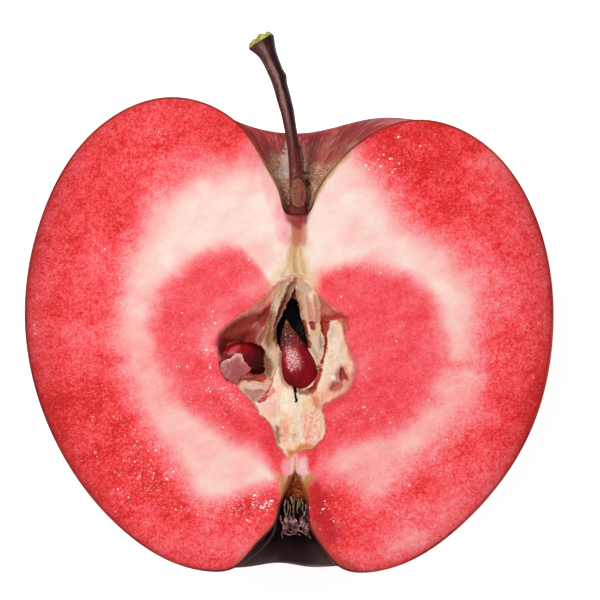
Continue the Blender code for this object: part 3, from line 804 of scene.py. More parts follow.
def patch_paint(x, y):
    """Colour and strength of the patches laid over one another, in order."""
    colour = np.zeros(np.shape(x) + (3,))
    strength = np.zeros(np.shape(x))
    waver = rough(x, y / 2.0, 0.7, 41, 3) * 0.32
    for points, width, patch, most in PATCHES:
        off = line_distance(x, y, points) + waver * width
        share = most * (1.0 - ease(0.35 * width, 1.5 * width, off))
        total = share + strength * (1.0 - share)
        part = np.divide(share, total, out=np.zeros_like(share), where=total > 1e-6)[..., None]
        colour = colour * (1.0 - part) + tint(patch) * part
        strength = total
    mottle = 0.16 * rough(x + 0.3 * y, y / 1.6, 0.42, 46, 3)[..., None]
    return colour * (1.0 + mottle * (0.25, 0.5, 1.2)), strength


# %% The body of flesh
SPOKE_ROWS = 100
BOWL_ROWS = 12
BOWL_DEPTH = 9.3                # the bowl that holds the core, in millimetres
BOWL_BLUNTNESS = 0.42
RIM_DROP = 0.03                 # how far the flesh's rim lies below the skin's edge


def cut_relief(x, y):
    """How far the knife's face lies below the skin's edge: a twentieth of a millimetre, uneven."""
    return 0.05 + 0.02 * rough(x, y, 1.6, 61, 3)


def bowl(deepest, edge, start):
    """Points, quads and fan of a bowl from the core's outline to a point under the hub.

    depth = deepest * inward^bluntness, where inward is 0 at the outline and 1 at the hub.  edge has
    the numbers of the outline's points, and start is the number of the bowl's first point.
    """
    inward = np.linspace(0.0, 1.0, BOWL_ROWS)[1:-1, None]
    depth = deepest * inward ** BOWL_BLUNTNESS
    points = place(*about_hub(core_x, core_y, 1.0 - inward), depth).reshape(-1, 3)
    first = start + np.arange(len(edge))
    quads = grid_faces(BOWL_ROWS - 2, len(edge), start, closed=True)
    fan = fan_faces(start + len(points), first + (BOWL_ROWS - 3) * len(edge))
    points = np.concatenate([points, place(*CORE_HUB, deepest)[None]])
    return points, np.concatenate([strip_faces(edge, first), quads]), fan


core_x = CORE_HUB[0] + core_reach(rim_way) * np.cos(rim_way)
core_y = CORE_HUB[1] + core_reach(rim_way) * np.sin(rim_way)
outward = np.linspace(0.0, 1.0, SPOKE_ROWS)[:, None]
face_x = core_x + (rim_x - core_x) * outward
face_y = core_y + (rim_y - core_y) * outward
rim_gap = np.hypot(rim_x - core_x, rim_y - core_y) * (1.0 - outward)
face_depth = cut_relief(face_x, face_y) * ease(0.0, 1.5, rim_gap)
print("deepest point of the bowl:", BOWL_DEPTH, "mm")

back_points, back_quads, back_fans = half_shell(LINING_COLUMNS, BED)[:3]
count = len(rim_x)
# the rim is shared: the cut face's last row is the edge of the back's grid
rim_numbers = np.concatenate([shell_edge(LINING_COLUMNS, 0), shell_edge(LINING_COLUMNS, -1)[-2:0:-1]])
face_points = place(face_x[:-1], face_y[:-1], face_depth[:-1]).reshape(-1, 3)
base = len(back_points)
face_quads = grid_faces(SPOKE_ROWS - 1, count, base, closed=True)
first_row = base + np.arange(count)
rim_quads = strip_faces(first_row + (SPOKE_ROWS - 2) * count, rim_numbers)
bowl_base = base + len(face_points)
bowl_points, bowl_quads, bowl_fan = bowl(BOWL_DEPTH, first_row, bowl_base)
back_points[rim_numbers, 2] -= RIM_DROP * UNIT

# %% [markdown]
# Cut flesh is wet and grainy.  Its colour is read from one row of reds and creams by the paleness of
# the point, shifted a little by noise at four scales, from single cells to blotches.  The red parts
# are rougher in tone than the pale ones.  A thin wet coat over a fine bump gives glints, and pale
# specks painted into the colour stand for more glints of wet cells.

# %% The finish of the cut flesh
FLESH_TONES = [
    (0.00, (218, 30, 30)), (0.12, (243, 54, 56)), (0.25, (254, 80, 88)),
    (0.42, (255, 116, 122)), (0.60, (255, 152, 152)), (0.80, (255, 192, 184)),
    (1.00, (255, 230, 217))]


def flesh_finish(name, wetness=0.08, coat_roughness=0.15):
    """The finish of everything cut: paleness and patches from the points, grain from noise."""
    cut = Finish(name)
    pale, grainy = cut.attribute("pale"), cut.attribute("grainy")
    cell, grain = cut.grain(5200.0, 1.0), cut.grain(2300.0, 2.0)
    blotch, cloud = cut.grain(900.0, 2.0), cut.grain(300.0, 3.0)
    fine = cell * 0.60 + grain * 0.48 - 0.54
    coarse = blotch * 0.28 + cloud * 0.22 - 0.25
    redness = 1.0 - pale.step(0.35, 0.85)
    shifted = pale + (fine * grainy + coarse) * (0.18 + redness * 0.82)
    # painted glints: pale specks in the colour, thickest where wet cells lie
    glint_cells = (cut.attribute("wet") + (blotch - 0.5) * 1.6) * 0.10
    painted_glint = (cut.grain(4700.0, 1.0) + glint_cells).step(0.70, 0.80)
    evened = (1.0 - grainy) * redness * 0.8
    ramped = cut.blend(evened, cut.ramp(shifted, FLESH_TONES), tone(247, 92, 108))
    colour = cut.blend(painted_glint * (0.15 + redness * 0.45), ramped, tone(255, 206, 208))
    patched = cut.blend(cut.attribute("patch_share"), colour, cut.attribute("patch", "Color"))
    edged = cut.blend(cut.attribute("near_skin"), patched, tone(134, 14, 17))
    cut.set(Base_Color=edged, Roughness=0.5, Specular_IOR_Level=0.15,
            Coat_Weight=wetness, Coat_Roughness=coat_roughness,
            Normal=cut.bump((cell * 0.5 + grain) * (0.3 + redness * 0.7), 0.00012))
    return cut


flesh = flesh_finish("cut flesh")
print("the flesh is painted by", len(flesh.tree.nodes), "nodes")

# %% Make the body of flesh
body = make_piece(
    "flesh_body",
    np.concatenate([back_points, face_points, bowl_points]),
    [back_quads, back_fans, face_quads, rim_quads, bowl_quads[:, ::-1], bowl_fan[:, ::-1]],
    flesh.material, sharp=70)


def store_on_face(name, values, rest):
    """Store values of the cut face's rows; every other point gets the value rest."""
    values = np.asarray(values, float)
    tail = values.shape[2:]
    full = np.empty((len(body.data.vertices),) + tail)
    full[:] = rest
    full[base:bowl_base] = values[:-1].reshape((-1,) + tail)
    full[rim_numbers] = values[-1]
    store(body, name, full)


patch_colour, patch_share = patch_paint(face_x, face_y)
store_on_face("pale", paleness(face_x, face_y), 0.3)
store_on_face("patch", patch_colour, 0.0)
store_on_face("patch_share", patch_share, 0.0)
flank = ease(20.0, 32.0, np.abs(face_x))
high = ease(12.0, 24.0, face_y)
store_on_face("near_skin", (0.5 - 0.3 * high) * np.exp(-rim_gap / 0.4)
              + (0.27 + 0.22 * flank - 0.14 * high) * np.exp(-rim_gap / (1.3 + 1.1 * flank)), 0.0)
store_on_face("grainy", graininess(face_x, face_y), 1.0)
store_on_face("wet", glint_density_at(face_x, face_y), 0.0)
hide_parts("flesh")

# %% [markdown]
# Beads of juice stand on the fresh cut and catch the lamp.  Each is a low dome with few faces, in
# clusters towards the lower left and thinly everywhere else; it takes the tone of the flesh below it,
# or a painted near-white that stands for its glint.

# %% Beads of juice
# middle of each cluster, its spread to the side and along, the number of beads, their size, and how
# much of them is painted near white as a glint
BEAD_CLUSTERS = [
    ((-5.5, -22.3), (0.9, 0.5), 12, 0.6, 0.3), ((-3.8, -23.5), (0.7, 0.6), 8, 0.6, 0.3),
    ((-7, -24.2), (1.1, 0.7), 6, 0.5, 0.2), ((-11.5, -21.5), (3.2, 2.2), 36, 0.7, 0.2),
    ((-18, -16), (4.5, 4), 40, 0.8, 0.2), ((-10.5, -7), (2, 3.5), 24, 0.7, 0.2),
    ((3.6, -22.5), (1.2, 2.2), 5, 0.6, 0.3), ((9, -11.5), (3, 2.5), 24, 0.7, 0.2),
    ((9.5, 21), (3.5, 3), 30, 0.7, 0.2), ((0, -2), (19, 17), 260, 0.8, 0.1),
    ((-5.3, -22.2), (0.1, 0.1), 2, 0.7, 1), ((-4.3, -23.9), (0.35, 0.25), 12, 0.45, 0.95),
    ((-3.7, -23.4), (0.28, 0.18), 12, 0.45, 0.95), ((-3.15, -23.05), (0.2, 0.12), 8, 0.5, 0.95),
    ((-6.2, -25.5), (0.2, 0.15), 5, 0.5, 0.9), ((-5.2, -23.6), (0.4, 0.3), 4, 0.4, 0.8),
    ((3.7, -24), (0.05, 0.05), 2, 0.55, 1), ((3.95, -23.2), (0.06, 0.25), 5, 0.35, 0.9),
    ((5, -25.3), (0.25, 0.5), 6, 0.35, 0.8), ((-7.6, -22.4), (1.2, 0.8), 4, 0.4, 0.6),
    ((-12, -22), (3, 2), 14, 0.5, 0.7), ((-11.2, -3.4), (0.5, 1.6), 12, 0.55, 0.8),
    ((-9.6, -8.6), (1, 1), 6, 0.5, 0.7), ((-18, -16), (5, 5), 26, 0.6, 0.8),
    ((9.5, 21), (4, 3.5), 20, 0.6, 0.8), ((12, -8), (6, 6), 20, 0.6, 0.7)]
BEAD_SIDES = 8
BEAD_ROWS = np.array([0.45, 0.8, 1.0])
BEAD_HEIGHT = 0.2               # height over radius

chance = np.random.default_rng(301)
bead_spots = np.concatenate([
    chance.normal(middle, spread, (number, 2)) for middle, spread, number, *_ in BEAD_CLUSTERS])
bead_size = chance.uniform(0.16, 0.32, len(bead_spots)) * chance.uniform(0.7, 1.1, len(bead_spots))
counts = [number for _, _, number, _, _ in BEAD_CLUSTERS]
bead_size *= np.repeat([size for *_, size, _ in BEAD_CLUSTERS], counts)
glint_white = np.repeat([white for *_, white in BEAD_CLUSTERS], counts)
bead_way, bead_far = from_hub(*bead_spots.T)
rim_far = np.interp(bead_way, rim_way, from_hub(rim_x, rim_y)[1], period=2.0 * math.pi)
on_flesh = (bead_far > core_reach(bead_way) + 0.3) & (bead_far < rim_far - 0.8)
on_flesh &= paleness(*bead_spots.T) < 0.55
bead_spots, bead_size, glint_white = bead_spots[on_flesh], bead_size[on_flesh], glint_white[on_flesh]
bead_turn = circle(BEAD_SIDES)
dome = np.concatenate([[(0.0, 0.0, BEAD_HEIGHT)], np.stack([
    np.outer(BEAD_ROWS, np.cos(bead_turn)), np.outer(BEAD_ROWS, np.sin(bead_turn)),
    np.repeat(BEAD_HEIGHT * (1.0 - BEAD_ROWS ** 2)[:, None], BEAD_SIDES, axis=1)], axis=-1).reshape(-1, 3),
    [(0.0, 0.0, -0.1)]])
dome_rings = 1 + np.arange(len(BEAD_ROWS) * BEAD_SIDES)
dome_quads = grid_faces(len(BEAD_ROWS), BEAD_SIDES, 1, closed=True)[:, ::-1]
dome_caps = np.concatenate([fan_faces(0, dome_rings[:BEAD_SIDES]),
                            fan_faces(len(dome) - 1, dome_rings[-BEAD_SIDES:], outward=False)])
bead_x = bead_spots[:, :1] + bead_size[:, None] * dome[:, 0]
bead_y = bead_spots[:, 1:] + bead_size[:, None] * dome[:, 1]
bead_depth = cut_relief(bead_spots[:, :1], bead_spots[:, 1:]) - bead_size[:, None] * dome[:, 2]
each = np.arange(len(bead_spots))[:, None, None] * len(dome)
juice = flesh_finish("bead of juice", 1.0, 0.04)
beads = make_piece("juice_beads", place(bead_x, bead_y, bead_depth),
                   [(dome_quads + each).reshape(-1, 4), (dome_caps + each).reshape(-1, 3)], juice.material)
bead_patch, bead_share = patch_paint(bead_x.ravel(), bead_y.ravel())
store(beads, "pale", paleness(bead_x.ravel(), bead_y.ravel()))
# painted glints: some beads are painted near white all over in place of the lamp's reflection
glint_white = np.repeat(glint_white, len(dome))
both = glint_white + bead_share * (1.0 - glint_white)
glint_part = (glint_white / np.maximum(both, 1e-6))[:, None]
store(beads, "patch", bead_patch * (1.0 - glint_part) + glint_part * tint((255, 238, 240)))
store(beads, "patch_share", both)
store(beads, "near_skin", 0.0)
store(beads, "grainy", 1.0)
store(beads, "wet", 0.0)

# %% [markdown]
# The core is where the half gets its character: torn chamber walls, cream ribbons between them and
# deep red hollows.  It is one relief: a grid of rings round a hub that ends at the core's outline, so
# its edge meets the flesh exactly.  Its form and its colours come from the same list of regions, each
# with an outline, a tone and a depth, laid over one another in order like paper cut-outs.

# %% Regions of the core
# a drop's tip and end, and its right and left side: widest, sharpness of the tip, of the end
MIDDLE_PIP = ((-1.2, 1.2), (1.25, -8.1), (2.42, 1.1, 0.35), (2.62, 1.0, 0.5))
LEFT_PIP = ((-1.9, -4.65), (-10.25, -3.65), (2.2, 0.55, 0.5), (2.15, 0.55, 0.5))


def drop_width(share, side):
    """Half the width of a drop: widest * (s / p)^a * ((1 - s) / (1 - p))^b with p = a / (a + b).

    share, s, runs from the pointed tip, 0, to the blunt end, 1; side gives (widest, a, b).
    """
    widest, sharp, blunt = side
    peak = sharp / (sharp + blunt)
    return widest * (share / peak) ** sharp * ((1.0 - share) / (1.0 - peak)) ** blunt


def drop_outline(tip, end, right, left, grow):
    """The outline of a drop from tip to end, widened everywhere by grow, in millimetres."""
    share = np.linspace(0.04, 0.98, 22)
    tip, end = np.array(tip), np.array(end)
    along = (end - tip) / np.hypot(*(end - tip))
    across = np.array((along[1], -along[0]))
    middle = tip + (end - tip) * share[:, None]
    one = middle + across * (drop_width(share, right) + grow)[:, None]
    other = middle - across * (drop_width(share, left) + grow)[:, None]
    return np.concatenate([[tip - along * grow], one, [end + along * grow], other[::-1]])


# name: its tone, then in millimetres the width over which the tone takes hold, the depth, the width of
# the slope down to it, and the outline
REGIONS = {
    "tissue": ((246, 212, 184), 0.6, 0.08, 0.4, [(0.1, 7.05), (-1.3, 6.9), (-2.3, 6.4), (-3, 4), (-4, 0),
     (-4.6, -4), (-6.6, -7.4), (-7.5, -7.6), (-6.6, -8.9), (-5.8, -9.7), (-5.2, -10.4), (-4.85, -11.2),
     (-4.1, -12), (-3.3, -12.7), (-2.85, -13.4), (-2.6, -14.5), (-2.25, -15.5), (-1.8, -16.2),
     (-1.35, -16.9), (-0.8, -17.1), (-0.2, -16.6), (0.6, -16.2), (1.6, -16), (2.8, -15.6), (3.5, -14.9),
     (3.95, -14.2), (4.1, -13.2), (3.9, -12.2), (3.75, -11.2), (3.5, -10.4), (4.6, -9.6), (5.8, -8.7),
     (6.8, -7.6), (7.1, -6), (6.9, -4), (6.7, -2), (6.3, -0.2), (6.3, 1.1), (4.7, 3), (2.9, 4.6),
     (1.1, 6.65)]),
    "peach side": ((243, 176, 152), 1.6, 0.08, 0.5, [(5.9, -0.6), (6.6, -2), (7.5, -3.6), (8, -5),
     (7.8, -6.6), (7.1, -8.2), (5.8, -9.2), (4.6, -9.7), (3.7, -10.4), (2.9, -9.6), (4.2, -7.6),
     (5.3, -5.4), (5.7, -3)]),
    "left chamber": ((222, 128, 112), 0.3, 0.4, 1.2, [(-2.1, 6.2), (-3, 5.4), (-4.2, 4.35), (-5.2, 3.4),
     (-6.2, 2.6), (-7, 2.05), (-8.1, 1.25), (-8.7, 0.7), (-9.3, 0.15), (-9.9, -0.3), (-10.2, -1),
     (-10.35, -2.2), (-10.2, -3.2), (-9.85, -4.3), (-9.6, -6), (-8.4, -7.1), (-7.4, -7.3), (-5.6, -7.2),
     (-3.8, -7.1), (-3.3, -6.4), (-3.5, -4.6), (-3.9, -2.8), (-4.3, -2.1), (-3.7, -0.8), (-3.35, 0.6),
     (-3.1, 2), (-3, 3.4), (-2.8, 4.3), (-2.3, 5.3)]),
    "wall of the chamber": ((148, 50, 42), 0.9, 0.8, 1.6, [(-3.1, 2.6), (-4.2, 2.4), (-5.6, 2), (-7, 1.5),
     (-8.3, 0.8), (-9.4, -0.1), (-10.2, -1), (-10.2, -3.2), (-9.4, -4.4), (-4.2, -4.4), (-4.2, -2.4),
     (-4.9, -1.4), (-3.9, 0.4), (-3.3, 1.6)]),
    "red of the chamber": ((144, 46, 40), 0.8, 0.9, 0.8, [(-3.15, 3.4), (-3.7, 3), (-4.6, 2.2), (-5.2, 1.2),
     (-4.2, 0.4), (-3.5, 1.4), (-3.2, 2.4)]),
    "chamber deep": ((158, 56, 46), 0.9, 2.6, 2.2, [(-9.9, -1.2), (-8.8, -0.8), (-7.3, -0.2), (-5.8, 0),
     (-5, -0.4), (-5.1, -1.2), (-4.9, -2), (-4.05, -2.7), (-3.95, -4.4), (-3.95, -6), (-4.3, -6.4),
     (-7, -6.5), (-8.8, -6.2), (-9.7, -4.6), (-10.1, -3.2), (-10.1, -1.8)]),
    "shade in the chamber": ((150, 56, 48), 0.8, 2.2, 0.9, [(-9.4, -1.4), (-10.1, -2), (-10.15, -3.2),
     (-9.7, -4.1), (-8.8, -3), (-7.8, -2), (-6.2, -1.7), (-5.2, -1.9), (-5.8, -1.4), (-7.6, -1.5)]),
    # painted shade: the deep gap round the left pip's right end is painted nearly black
    "painted shade behind the pip": ((84, 22, 20), 0.5, 3.4, 0.55, [(-8.2, -2.3), (-7.2, -1.95), (-6.2, -1.9),
     (-5.2, -2.1), (-4.5, -2.45), (-4, -2.9), (-3.95, -4.5), (-3.95, -6.2), (-5.2, -6.4), (-6.4, -5.6),
     (-7.6, -3.6)]),
    "wall below the pip": ((170, 74, 62), 0.3, 0.75, 0.5, [(-7.4, -6.9), (-6.4, -6.5), (-5.2, -6.3),
     (-4.2, -6.1), (-3.7, -6.3), (-4, -7), (-5.6, -7.15), (-7.2, -7.2)]),
    "under the flap": ((150, 70, 62), 0.3, 0.45, 0.3, [(-10, -4.4), (-8.8, -4.1), (-7.6, -4.6),
     (-6.8, -5.6), (-6.9, -7), (-7.6, -7.5), (-8.6, -7.2), (-9.5, -6.6), (-10, -5.6)]),
    "chamber right wall": ((168, 104, 80), 0.5, 0.9, 0.9, [(-3.4, 1.3), (-3.9, 0.2), (-4.9, -1), (-5.1, -2),
     (-4.4, -2.4), (-3.9, -1.2), (-3.5, 0)]),
    "septum": ((218, 178, 144), 0.25, 0.2, 0.35, [(-1.7, 6.4), (-2.2, 5.8), (-2.6, 5), (-2.95, 4.2),
     (-3.05, 3), (-3.15, 2), (-3.4, 1), (-3.6, 0), (-3.9, -1), (-4.4, -2), (-4.3, -2.6), (-3.95, -3),
     (-3.9, -4.6), (-3.85, -6.2), (-3.4, -6.9), (-2.7, -6.4), (-1.9, -5.2), (-1.95, -3.2), (-2.35, -2.5),
     (-2.75, -1.7), (-2.95, -0.6), (-2.85, 0.5), (-2.6, 1.6), (-2.25, 2.7), (-1.85, 3.8), (-1.45, 5),
     (-1.1, 6.2)]),
    "septum's brown": ((154, 102, 66), 0.9, 0.35, 0.5, [(-2.7, 2.1), (-3.2, 1.9), (-3.55, 0.6),
     (-3.8, -0.8), (-3.9, -2.2), (-3.3, -2.9), (-2.9, -1.8), (-2.9, -0.6), (-2.85, 0.6)]),
    "septum's shoulder": ((196, 152, 120), 0.6, 0.3, 0.4, [(-1.9, 6), (-1.3, 6.2), (-1.1, 5.4), (-1.6, 4.4),
     (-2.1, 3.6), (-2.2, 4.4), (-2.1, 5.2)]),
    "septum shade": ((150, 92, 66), 0.9, 0.7, 0.8, [(-3.95, -3.4), (-3.9, -6.2), (-3.2, -6.6), (-2.9, -5.2),
     (-3.2, -4)]),
    "grey strip": ((154, 106, 84), 0.3, 0.5, 0.5, [(0.1, 6.6), (-0.5, 6.2), (-1.1, 5.4), (-1.55, 4.5),
     (-1.85, 3.7), (-2.25, 2.6), (-2.6, 1.5), (-2.85, 0.5), (-2.95, -0.7), (-2.75, -1.8), (-2.3, -2.6),
     (-2.2, -2.3), (-2.5, -1.5), (-2.62, -0.5), (-2.42, 0.5), (-1.9, 1.3), (-1.4, 2.3), (-1, 3.2),
     (-0.6, 4.1), (-0.35, 4.9), (-0.05, 5.6)]),
    "grey strip's foot": ((128, 54, 42), 0.5, 0.8, 0.5, [(-1, 4.6), (-1.75, 3.6), (-2.2, 2.4), (-2.6, 1.2),
     (-2.85, 0.2), (-2.95, -0.8), (-2.75, -1.8), (-2.5, -1.4), (-2.6, -0.4), (-2.3, 0.8), (-1.8, 2),
     (-1.3, 3.2)]),
    "apex": ((160, 90, 58), 0.35, 0.15, 0.3, [(-0.25, 6.75), (0.3, 6.75), (0.35, 6.2), (0.15, 5.6),
     (-0.15, 5.6), (-0.3, 6.2)]),
    "pink by the apex": ((212, 132, 108), 0.35, 0.1, 0.3, [(-1.7, 6.15), (-1.1, 6.6), (-0.5, 6.7),
     (-0.4, 6.3), (-1, 5.95)]),
    "strip a": ((208, 166, 132), 0.25, 0.16, 0.3, [(0.35, 6.7), (0.3, 5.6), (0.25, 4.8), (0.35, 4),
     (0.5, 3), (0.75, 2.1), (1, 1.2), (1.2, 0.6), (1.6, 0.5), (1.6, 1.4), (1.45, 2.4), (1.35, 3.4),
     (1.5, 4.4), (2.2, 4.8), (2.4, 5), (1.6, 6), (0.9, 6.7)]),
    "strip a's edge": ((186, 142, 110), 0.4, 0.32, 0.4, [(0.3, 4.8), (0.35, 4), (0.5, 3), (0.8, 2),
     (1.1, 1), (1.3, 0.6), (1.2, 1.6), (1, 2.8), (0.8, 4), (0.6, 5)]),
    "pink window": ((214, 146, 132), 0.6, 0.3, 0.6, [(1.2, 4.7), (1.35, 3.8), (1.45, 2.8), (1.6, 1.8),
     (1.85, 0.9), (2.55, 0.8), (2.6, 1.8), (2.4, 2.8), (2.1, 3.7), (1.7, 4.4)]),
    "pink window's foot": ((164, 76, 64), 0.3, 0.5, 0.35, [(1.75, 0.8), (2.2, 0.95), (2.65, 0.8),
     (2.7, 0.2), (2.6, -0.4), (2.2, -0.3), (2, 0.2)]),
    "strip b": ((226, 188, 160), 0.22, 0.14, 0.3, [(2.35, 4.8), (2.6, 4), (2.65, 3), (2.65, 1.6),
     (2.75, 0.6), (2.75, -0.2), (2.4, -0.5), (2, -0.4), (1.9, -0.7), (2.05, -1.6), (2.05, -2.4),
     (2.3, -3.1), (2.7, -3.9), (3.05, -4.6), (3.35, -5), (3.55, -4.4), (3.75, -3.4), (3.8, -2.4),
     (3.7, -1.5), (3.45, -0.6), (3.35, 0.4), (3.3, 1.4), (3.3, 2.6), (3.2, 3.6), (2.8, 4.5)]),
    "upper strip b": ((202, 142, 114), 0.4, 0.2, 0.3, [(2.5, 4.4), (2.6, 3), (2.65, 1.6), (2.8, 0.6),
     (3.3, 0.8), (3.25, 2.2), (3.1, 3.6)]),
    "strip b's shade": ((182, 154, 136), 0.35, 0.3, 0.4, [(3.3, -0.6), (3.2, -1.8), (3.4, -3), (3.7, -2.6),
     (3.65, -1.4)]),
    "red triangle": ((202, 102, 90), 0.45, 0.35, 0.6, [(2.9, 4.5), (3.7, 3.95), (4.7, 3), (5.4, 2.3),
     (6.5, 1.75), (6.3, 1.2), (4.8, 1), (3.6, 1), (3.3, 1.4), (3.3, 2.6), (3.1, 3.7)]),
    "triangle's foot": ((176, 56, 48), 0.5, 0.5, 0.5, [(3.4, 1.4), (4.3, 1.75), (5.4, 1.85), (6.4, 1.75),
     (7.1, 1.35), (6.4, 1.15), (5.4, 1), (4.7, 0.9), (3.4, 0.9)]),
    "red pocket": ((170, 56, 44), 0.22, 0.6, 0.35, [(3.35, 1.1), (4, 1.1), (4.75, 0.9), (4.7, 0.1),
     (4.35, -0.7), (4.3, -1.5), (4.3, -2.6), (4.1, -3.6), (3.85, -4.4), (3.5, -5), (3.4, -4.8), (3.7, -3.8),
     (3.85, -2.6), (3.85, -1.6), (3.75, -1), (3.5, -0.6), (3.4, 0.2)]),
    "strip c": ((246, 212, 182), 0.45, 0.04, 0.3, [(4.8, 0.85), (5.6, 0.8), (6.1, 0.1), (6.3, -0.8),
     (6.4, -2.2), (6.4, -3.4), (6, -4.6), (5.3, -5.8), (4.7, -6.9), (4, -7.9), (3.3, -8.6), (2.9, -9),
     (2.55, -8.7), (2.95, -8), (3.3, -7), (3.65, -6), (4, -5), (4.3, -4), (4.45, -2.8), (4.45, -1.6),
     (4.6, -0.6)]),
    "cream beside the strip": ((246, 204, 174), 0.8, 0.05, 0.4, [(5.8, -0.4), (6.3, -1.2), (6.8, -2.6),
     (7.2, -4), (7.5, -5.4), (7.2, -6), (6.6, -4.8), (5.8, -4.6), (5.4, -3), (5.6, -1.4)]),
    "strip c's shoulder": ((222, 184, 156), 0.6, 0.1, 0.4, [(4.8, 0.8), (5.2, -0.2), (5, -1.4), (4.5, -1.6),
     (4.6, -0.6)]),
    "strip c's head": ((206, 100, 74), 0.7, 0.18, 0.5, [(5.7, 1), (6.4, 1.1), (7, 0.7), (7.2, 0),
     (6.7, -0.4), (6.2, 0.1), (5.9, 0.6)]),
    "small window": ((212, 144, 130), 0.6, 0.3, 0.7, [(5.9, -5.2), (6.5, -4.9), (7.1, -6), (7.3, -7),
     (6.7, -7.7), (6, -8.3), (5.1, -8.6), (4.5, -8.3), (4.6, -7.4), (5.1, -6.5)]),
    "small window's floor": ((190, 102, 92), 0.5, 0.45, 0.5, [(5, -7.4), (6, -7.2), (6.4, -7.6),
     (5.7, -8.3), (4.9, -8.4), (4.7, -8)]),
    "small window's depth": ((172, 60, 50), 0.25, 0.6, 0.4, [(6.25, -5.1), (6.75, -5.9), (7.15, -6.9),
     (7.05, -7.15), (6.6, -6.8), (6.1, -7.2), (5.85, -6.6), (5.95, -5.8)]),
    "glint of the window": ((252, 232, 240), 0.25, 0.05, 0.3, [(4.85, -6.3), (5.35, -6.3), (5.4, -6.8),
     (4.95, -6.9)]),
    "gap by the pip": ((184, 72, 54), 0.2, 0.7, 0.35, [(2.9, -4.9), (3.5, -5.1), (3.7, -5.4), (3.5, -6.3),
     (3.2, -7.2), (2.8, -8.2), (2.4, -8.8), (2, -8.5), (1.3, -8.15), (2.2, -7.7), (2.6, -6.9), (2.7, -6),
     (2.7, -5.2)]),
    "shelf under the pip": ((168, 106, 72), 0.4, 0.3, 0.3, [(0.3, -8.1), (1.2, -8.2), (2, -8.25),
     (2.3, -8.6), (1.8, -8.9), (1.2, -8.9), (0.4, -8.6)]),
    # painted shade: the deep narrow slit is painted nearly black
    "slit in painted shade": ((40, 14, 12), 0.12, 2.6, 0.15, [(-0.25, -7.7), (0.1, -7.9), (0.22, -8.8), (0.3, -9.6),
     (0.15, -10), (-0.02, -9.2), (-0.15, -8.4)]),
    "left shelf": ((232, 176, 154), 0.4, 0.15, 0.25, [(-7.4, -7.3), (-5.6, -7.2), (-4, -7.15), (-3.2, -6.8),
     (-3, -7.2), (-3.4, -7.9), (-4.2, -8.1), (-5.8, -8), (-6.9, -7.9)]),
    "left membrane": ((198, 126, 110), 0.6, 0.25, 0.4, [(-6.9, -8), (-5.8, -8.1), (-4.4, -8.1),
     (-3.8, -8.4), (-4.1, -9), (-4.6, -9.5), (-5.2, -9.9), (-5.9, -9.5), (-6.5, -8.9)]),
    "lower tissue": ((253, 208, 178), 0.5, 0.04, 0.4, [(-2.9, -6), (-2.1, -5.4), (-1.7, -6.4), (-1.1, -7.4),
     (-0.3, -7.9), (-0.1, -9.6), (0, -11.4), (-1, -12.6), (-2.6, -12.9), (-3.9, -11.9), (-4.8, -10.7),
     (-4.3, -10), (-3.2, -8.6), (-2.8, -7.2)]),
    "pink in the tissue": ((250, 186, 162), 1.2, 0.04, 0.4, [(-4.4, -10.3), (-3.4, -9.6), (-2.4, -9.9),
     (-2.2, -11), (-2.8, -12), (-4, -11.3)]),
    "first tear": ((190, 80, 76), 0.16, 0.25, 0.15, [(-2.45, -5.3), (-2.5, -6), (-2.85, -6.7), (-3, -7.2),
     (-3.1, -7.1), (-2.95, -6.5), (-2.65, -5.8)]),
    "second tear": ((198, 70, 76), 0.16, 0.25, 0.15, [(-2.85, -7), (-3, -7.6), (-3.45, -8.2), (-3.7, -8.4),
     (-3.6, -8.1), (-3.15, -7.5)]),
    "third tear": ((206, 62, 76), 0.16, 0.25, 0.15, [(-3.3, -8), (-3.5, -8.6), (-4, -9.2), (-4.4, -9.3),
     (-4.1, -8.8), (-3.6, -8.2)]),
    "fourth tear": ((206, 48, 62), 0.16, 0.25, 0.15, [(-3.7, -9.1), (-4.1, -9.7), (-4.8, -10.05),
     (-4.95, -9.75), (-4.5, -9.4), (-4, -9.1)]),
    "pink by the tears": ((240, 120, 112), 0.5, 0.08, 0.2, [(-2.8, -7.9), (-2.6, -8.3), (-3.1, -8.9),
     (-3.7, -9.3), (-3.9, -9.1), (-3.4, -8.6)]),
    "rough pad": ((250, 202, 174), 0.6, 0.05, 0.4, [(1.1, -11.5), (2, -11), (3.1, -11.2), (3.7, -12.2),
     (3.9, -13.3), (3.6, -14.5), (2.8, -15.3), (1.7, -15.3), (1.1, -14.7), (0.9, -13)]),
    "tan above the pad": ((244, 208, 160), 0.6, 0.04, 0.3, [(0.7, -9.8), (1.3, -9.6), (1.6, -10.6),
     (1.2, -11.4), (0.8, -11.2)]),
    "peach strip": ((222, 150, 126), 0.4, 0.12, 0.3, [(2.2, -8.9), (3, -9.2), (3.4, -10.1), (3.2, -10.9),
     (2.7, -10.7), (2.4, -9.8)]),
    "small pad": ((246, 186, 160), 0.6, 0.05, 0.3, [(-2, -12.6), (-1.2, -12.2), (-0.8, -13.1),
     (-0.9, -14.4), (-1.4, -15.2), (-1.9, -14.8)]),
    # painted shade in two creases below the core: greyish tones
    "painted shade in a crease": ((182, 130, 98), 0.35, 0.3, 0.25, [(-2.5, -13), (-2.1, -13.2), (-2, -14.4), (-2, -15.4),
     (-2.3, -15.2), (-2.5, -14.2)]),
    "painted shade in a second crease": ((214, 192, 166), 0.5, 0.2, 0.2, [(-0.2, -14), (0.1, -14.1), (0.15, -14.9),
     (-0.1, -15), (-0.3, -14.6)]),
    "brown foot": ((216, 134, 86), 0.6, 0.1, 0.4, [(-1.1, -16.1), (-0.4, -16.2), (0.2, -16), (0.6, -15.4),
     (1.4, -15.3), (2.4, -15.5), (2.2, -16.1), (1, -16.3), (0.2, -16.8), (-0.4, -17.2), (-1, -16.8)]),
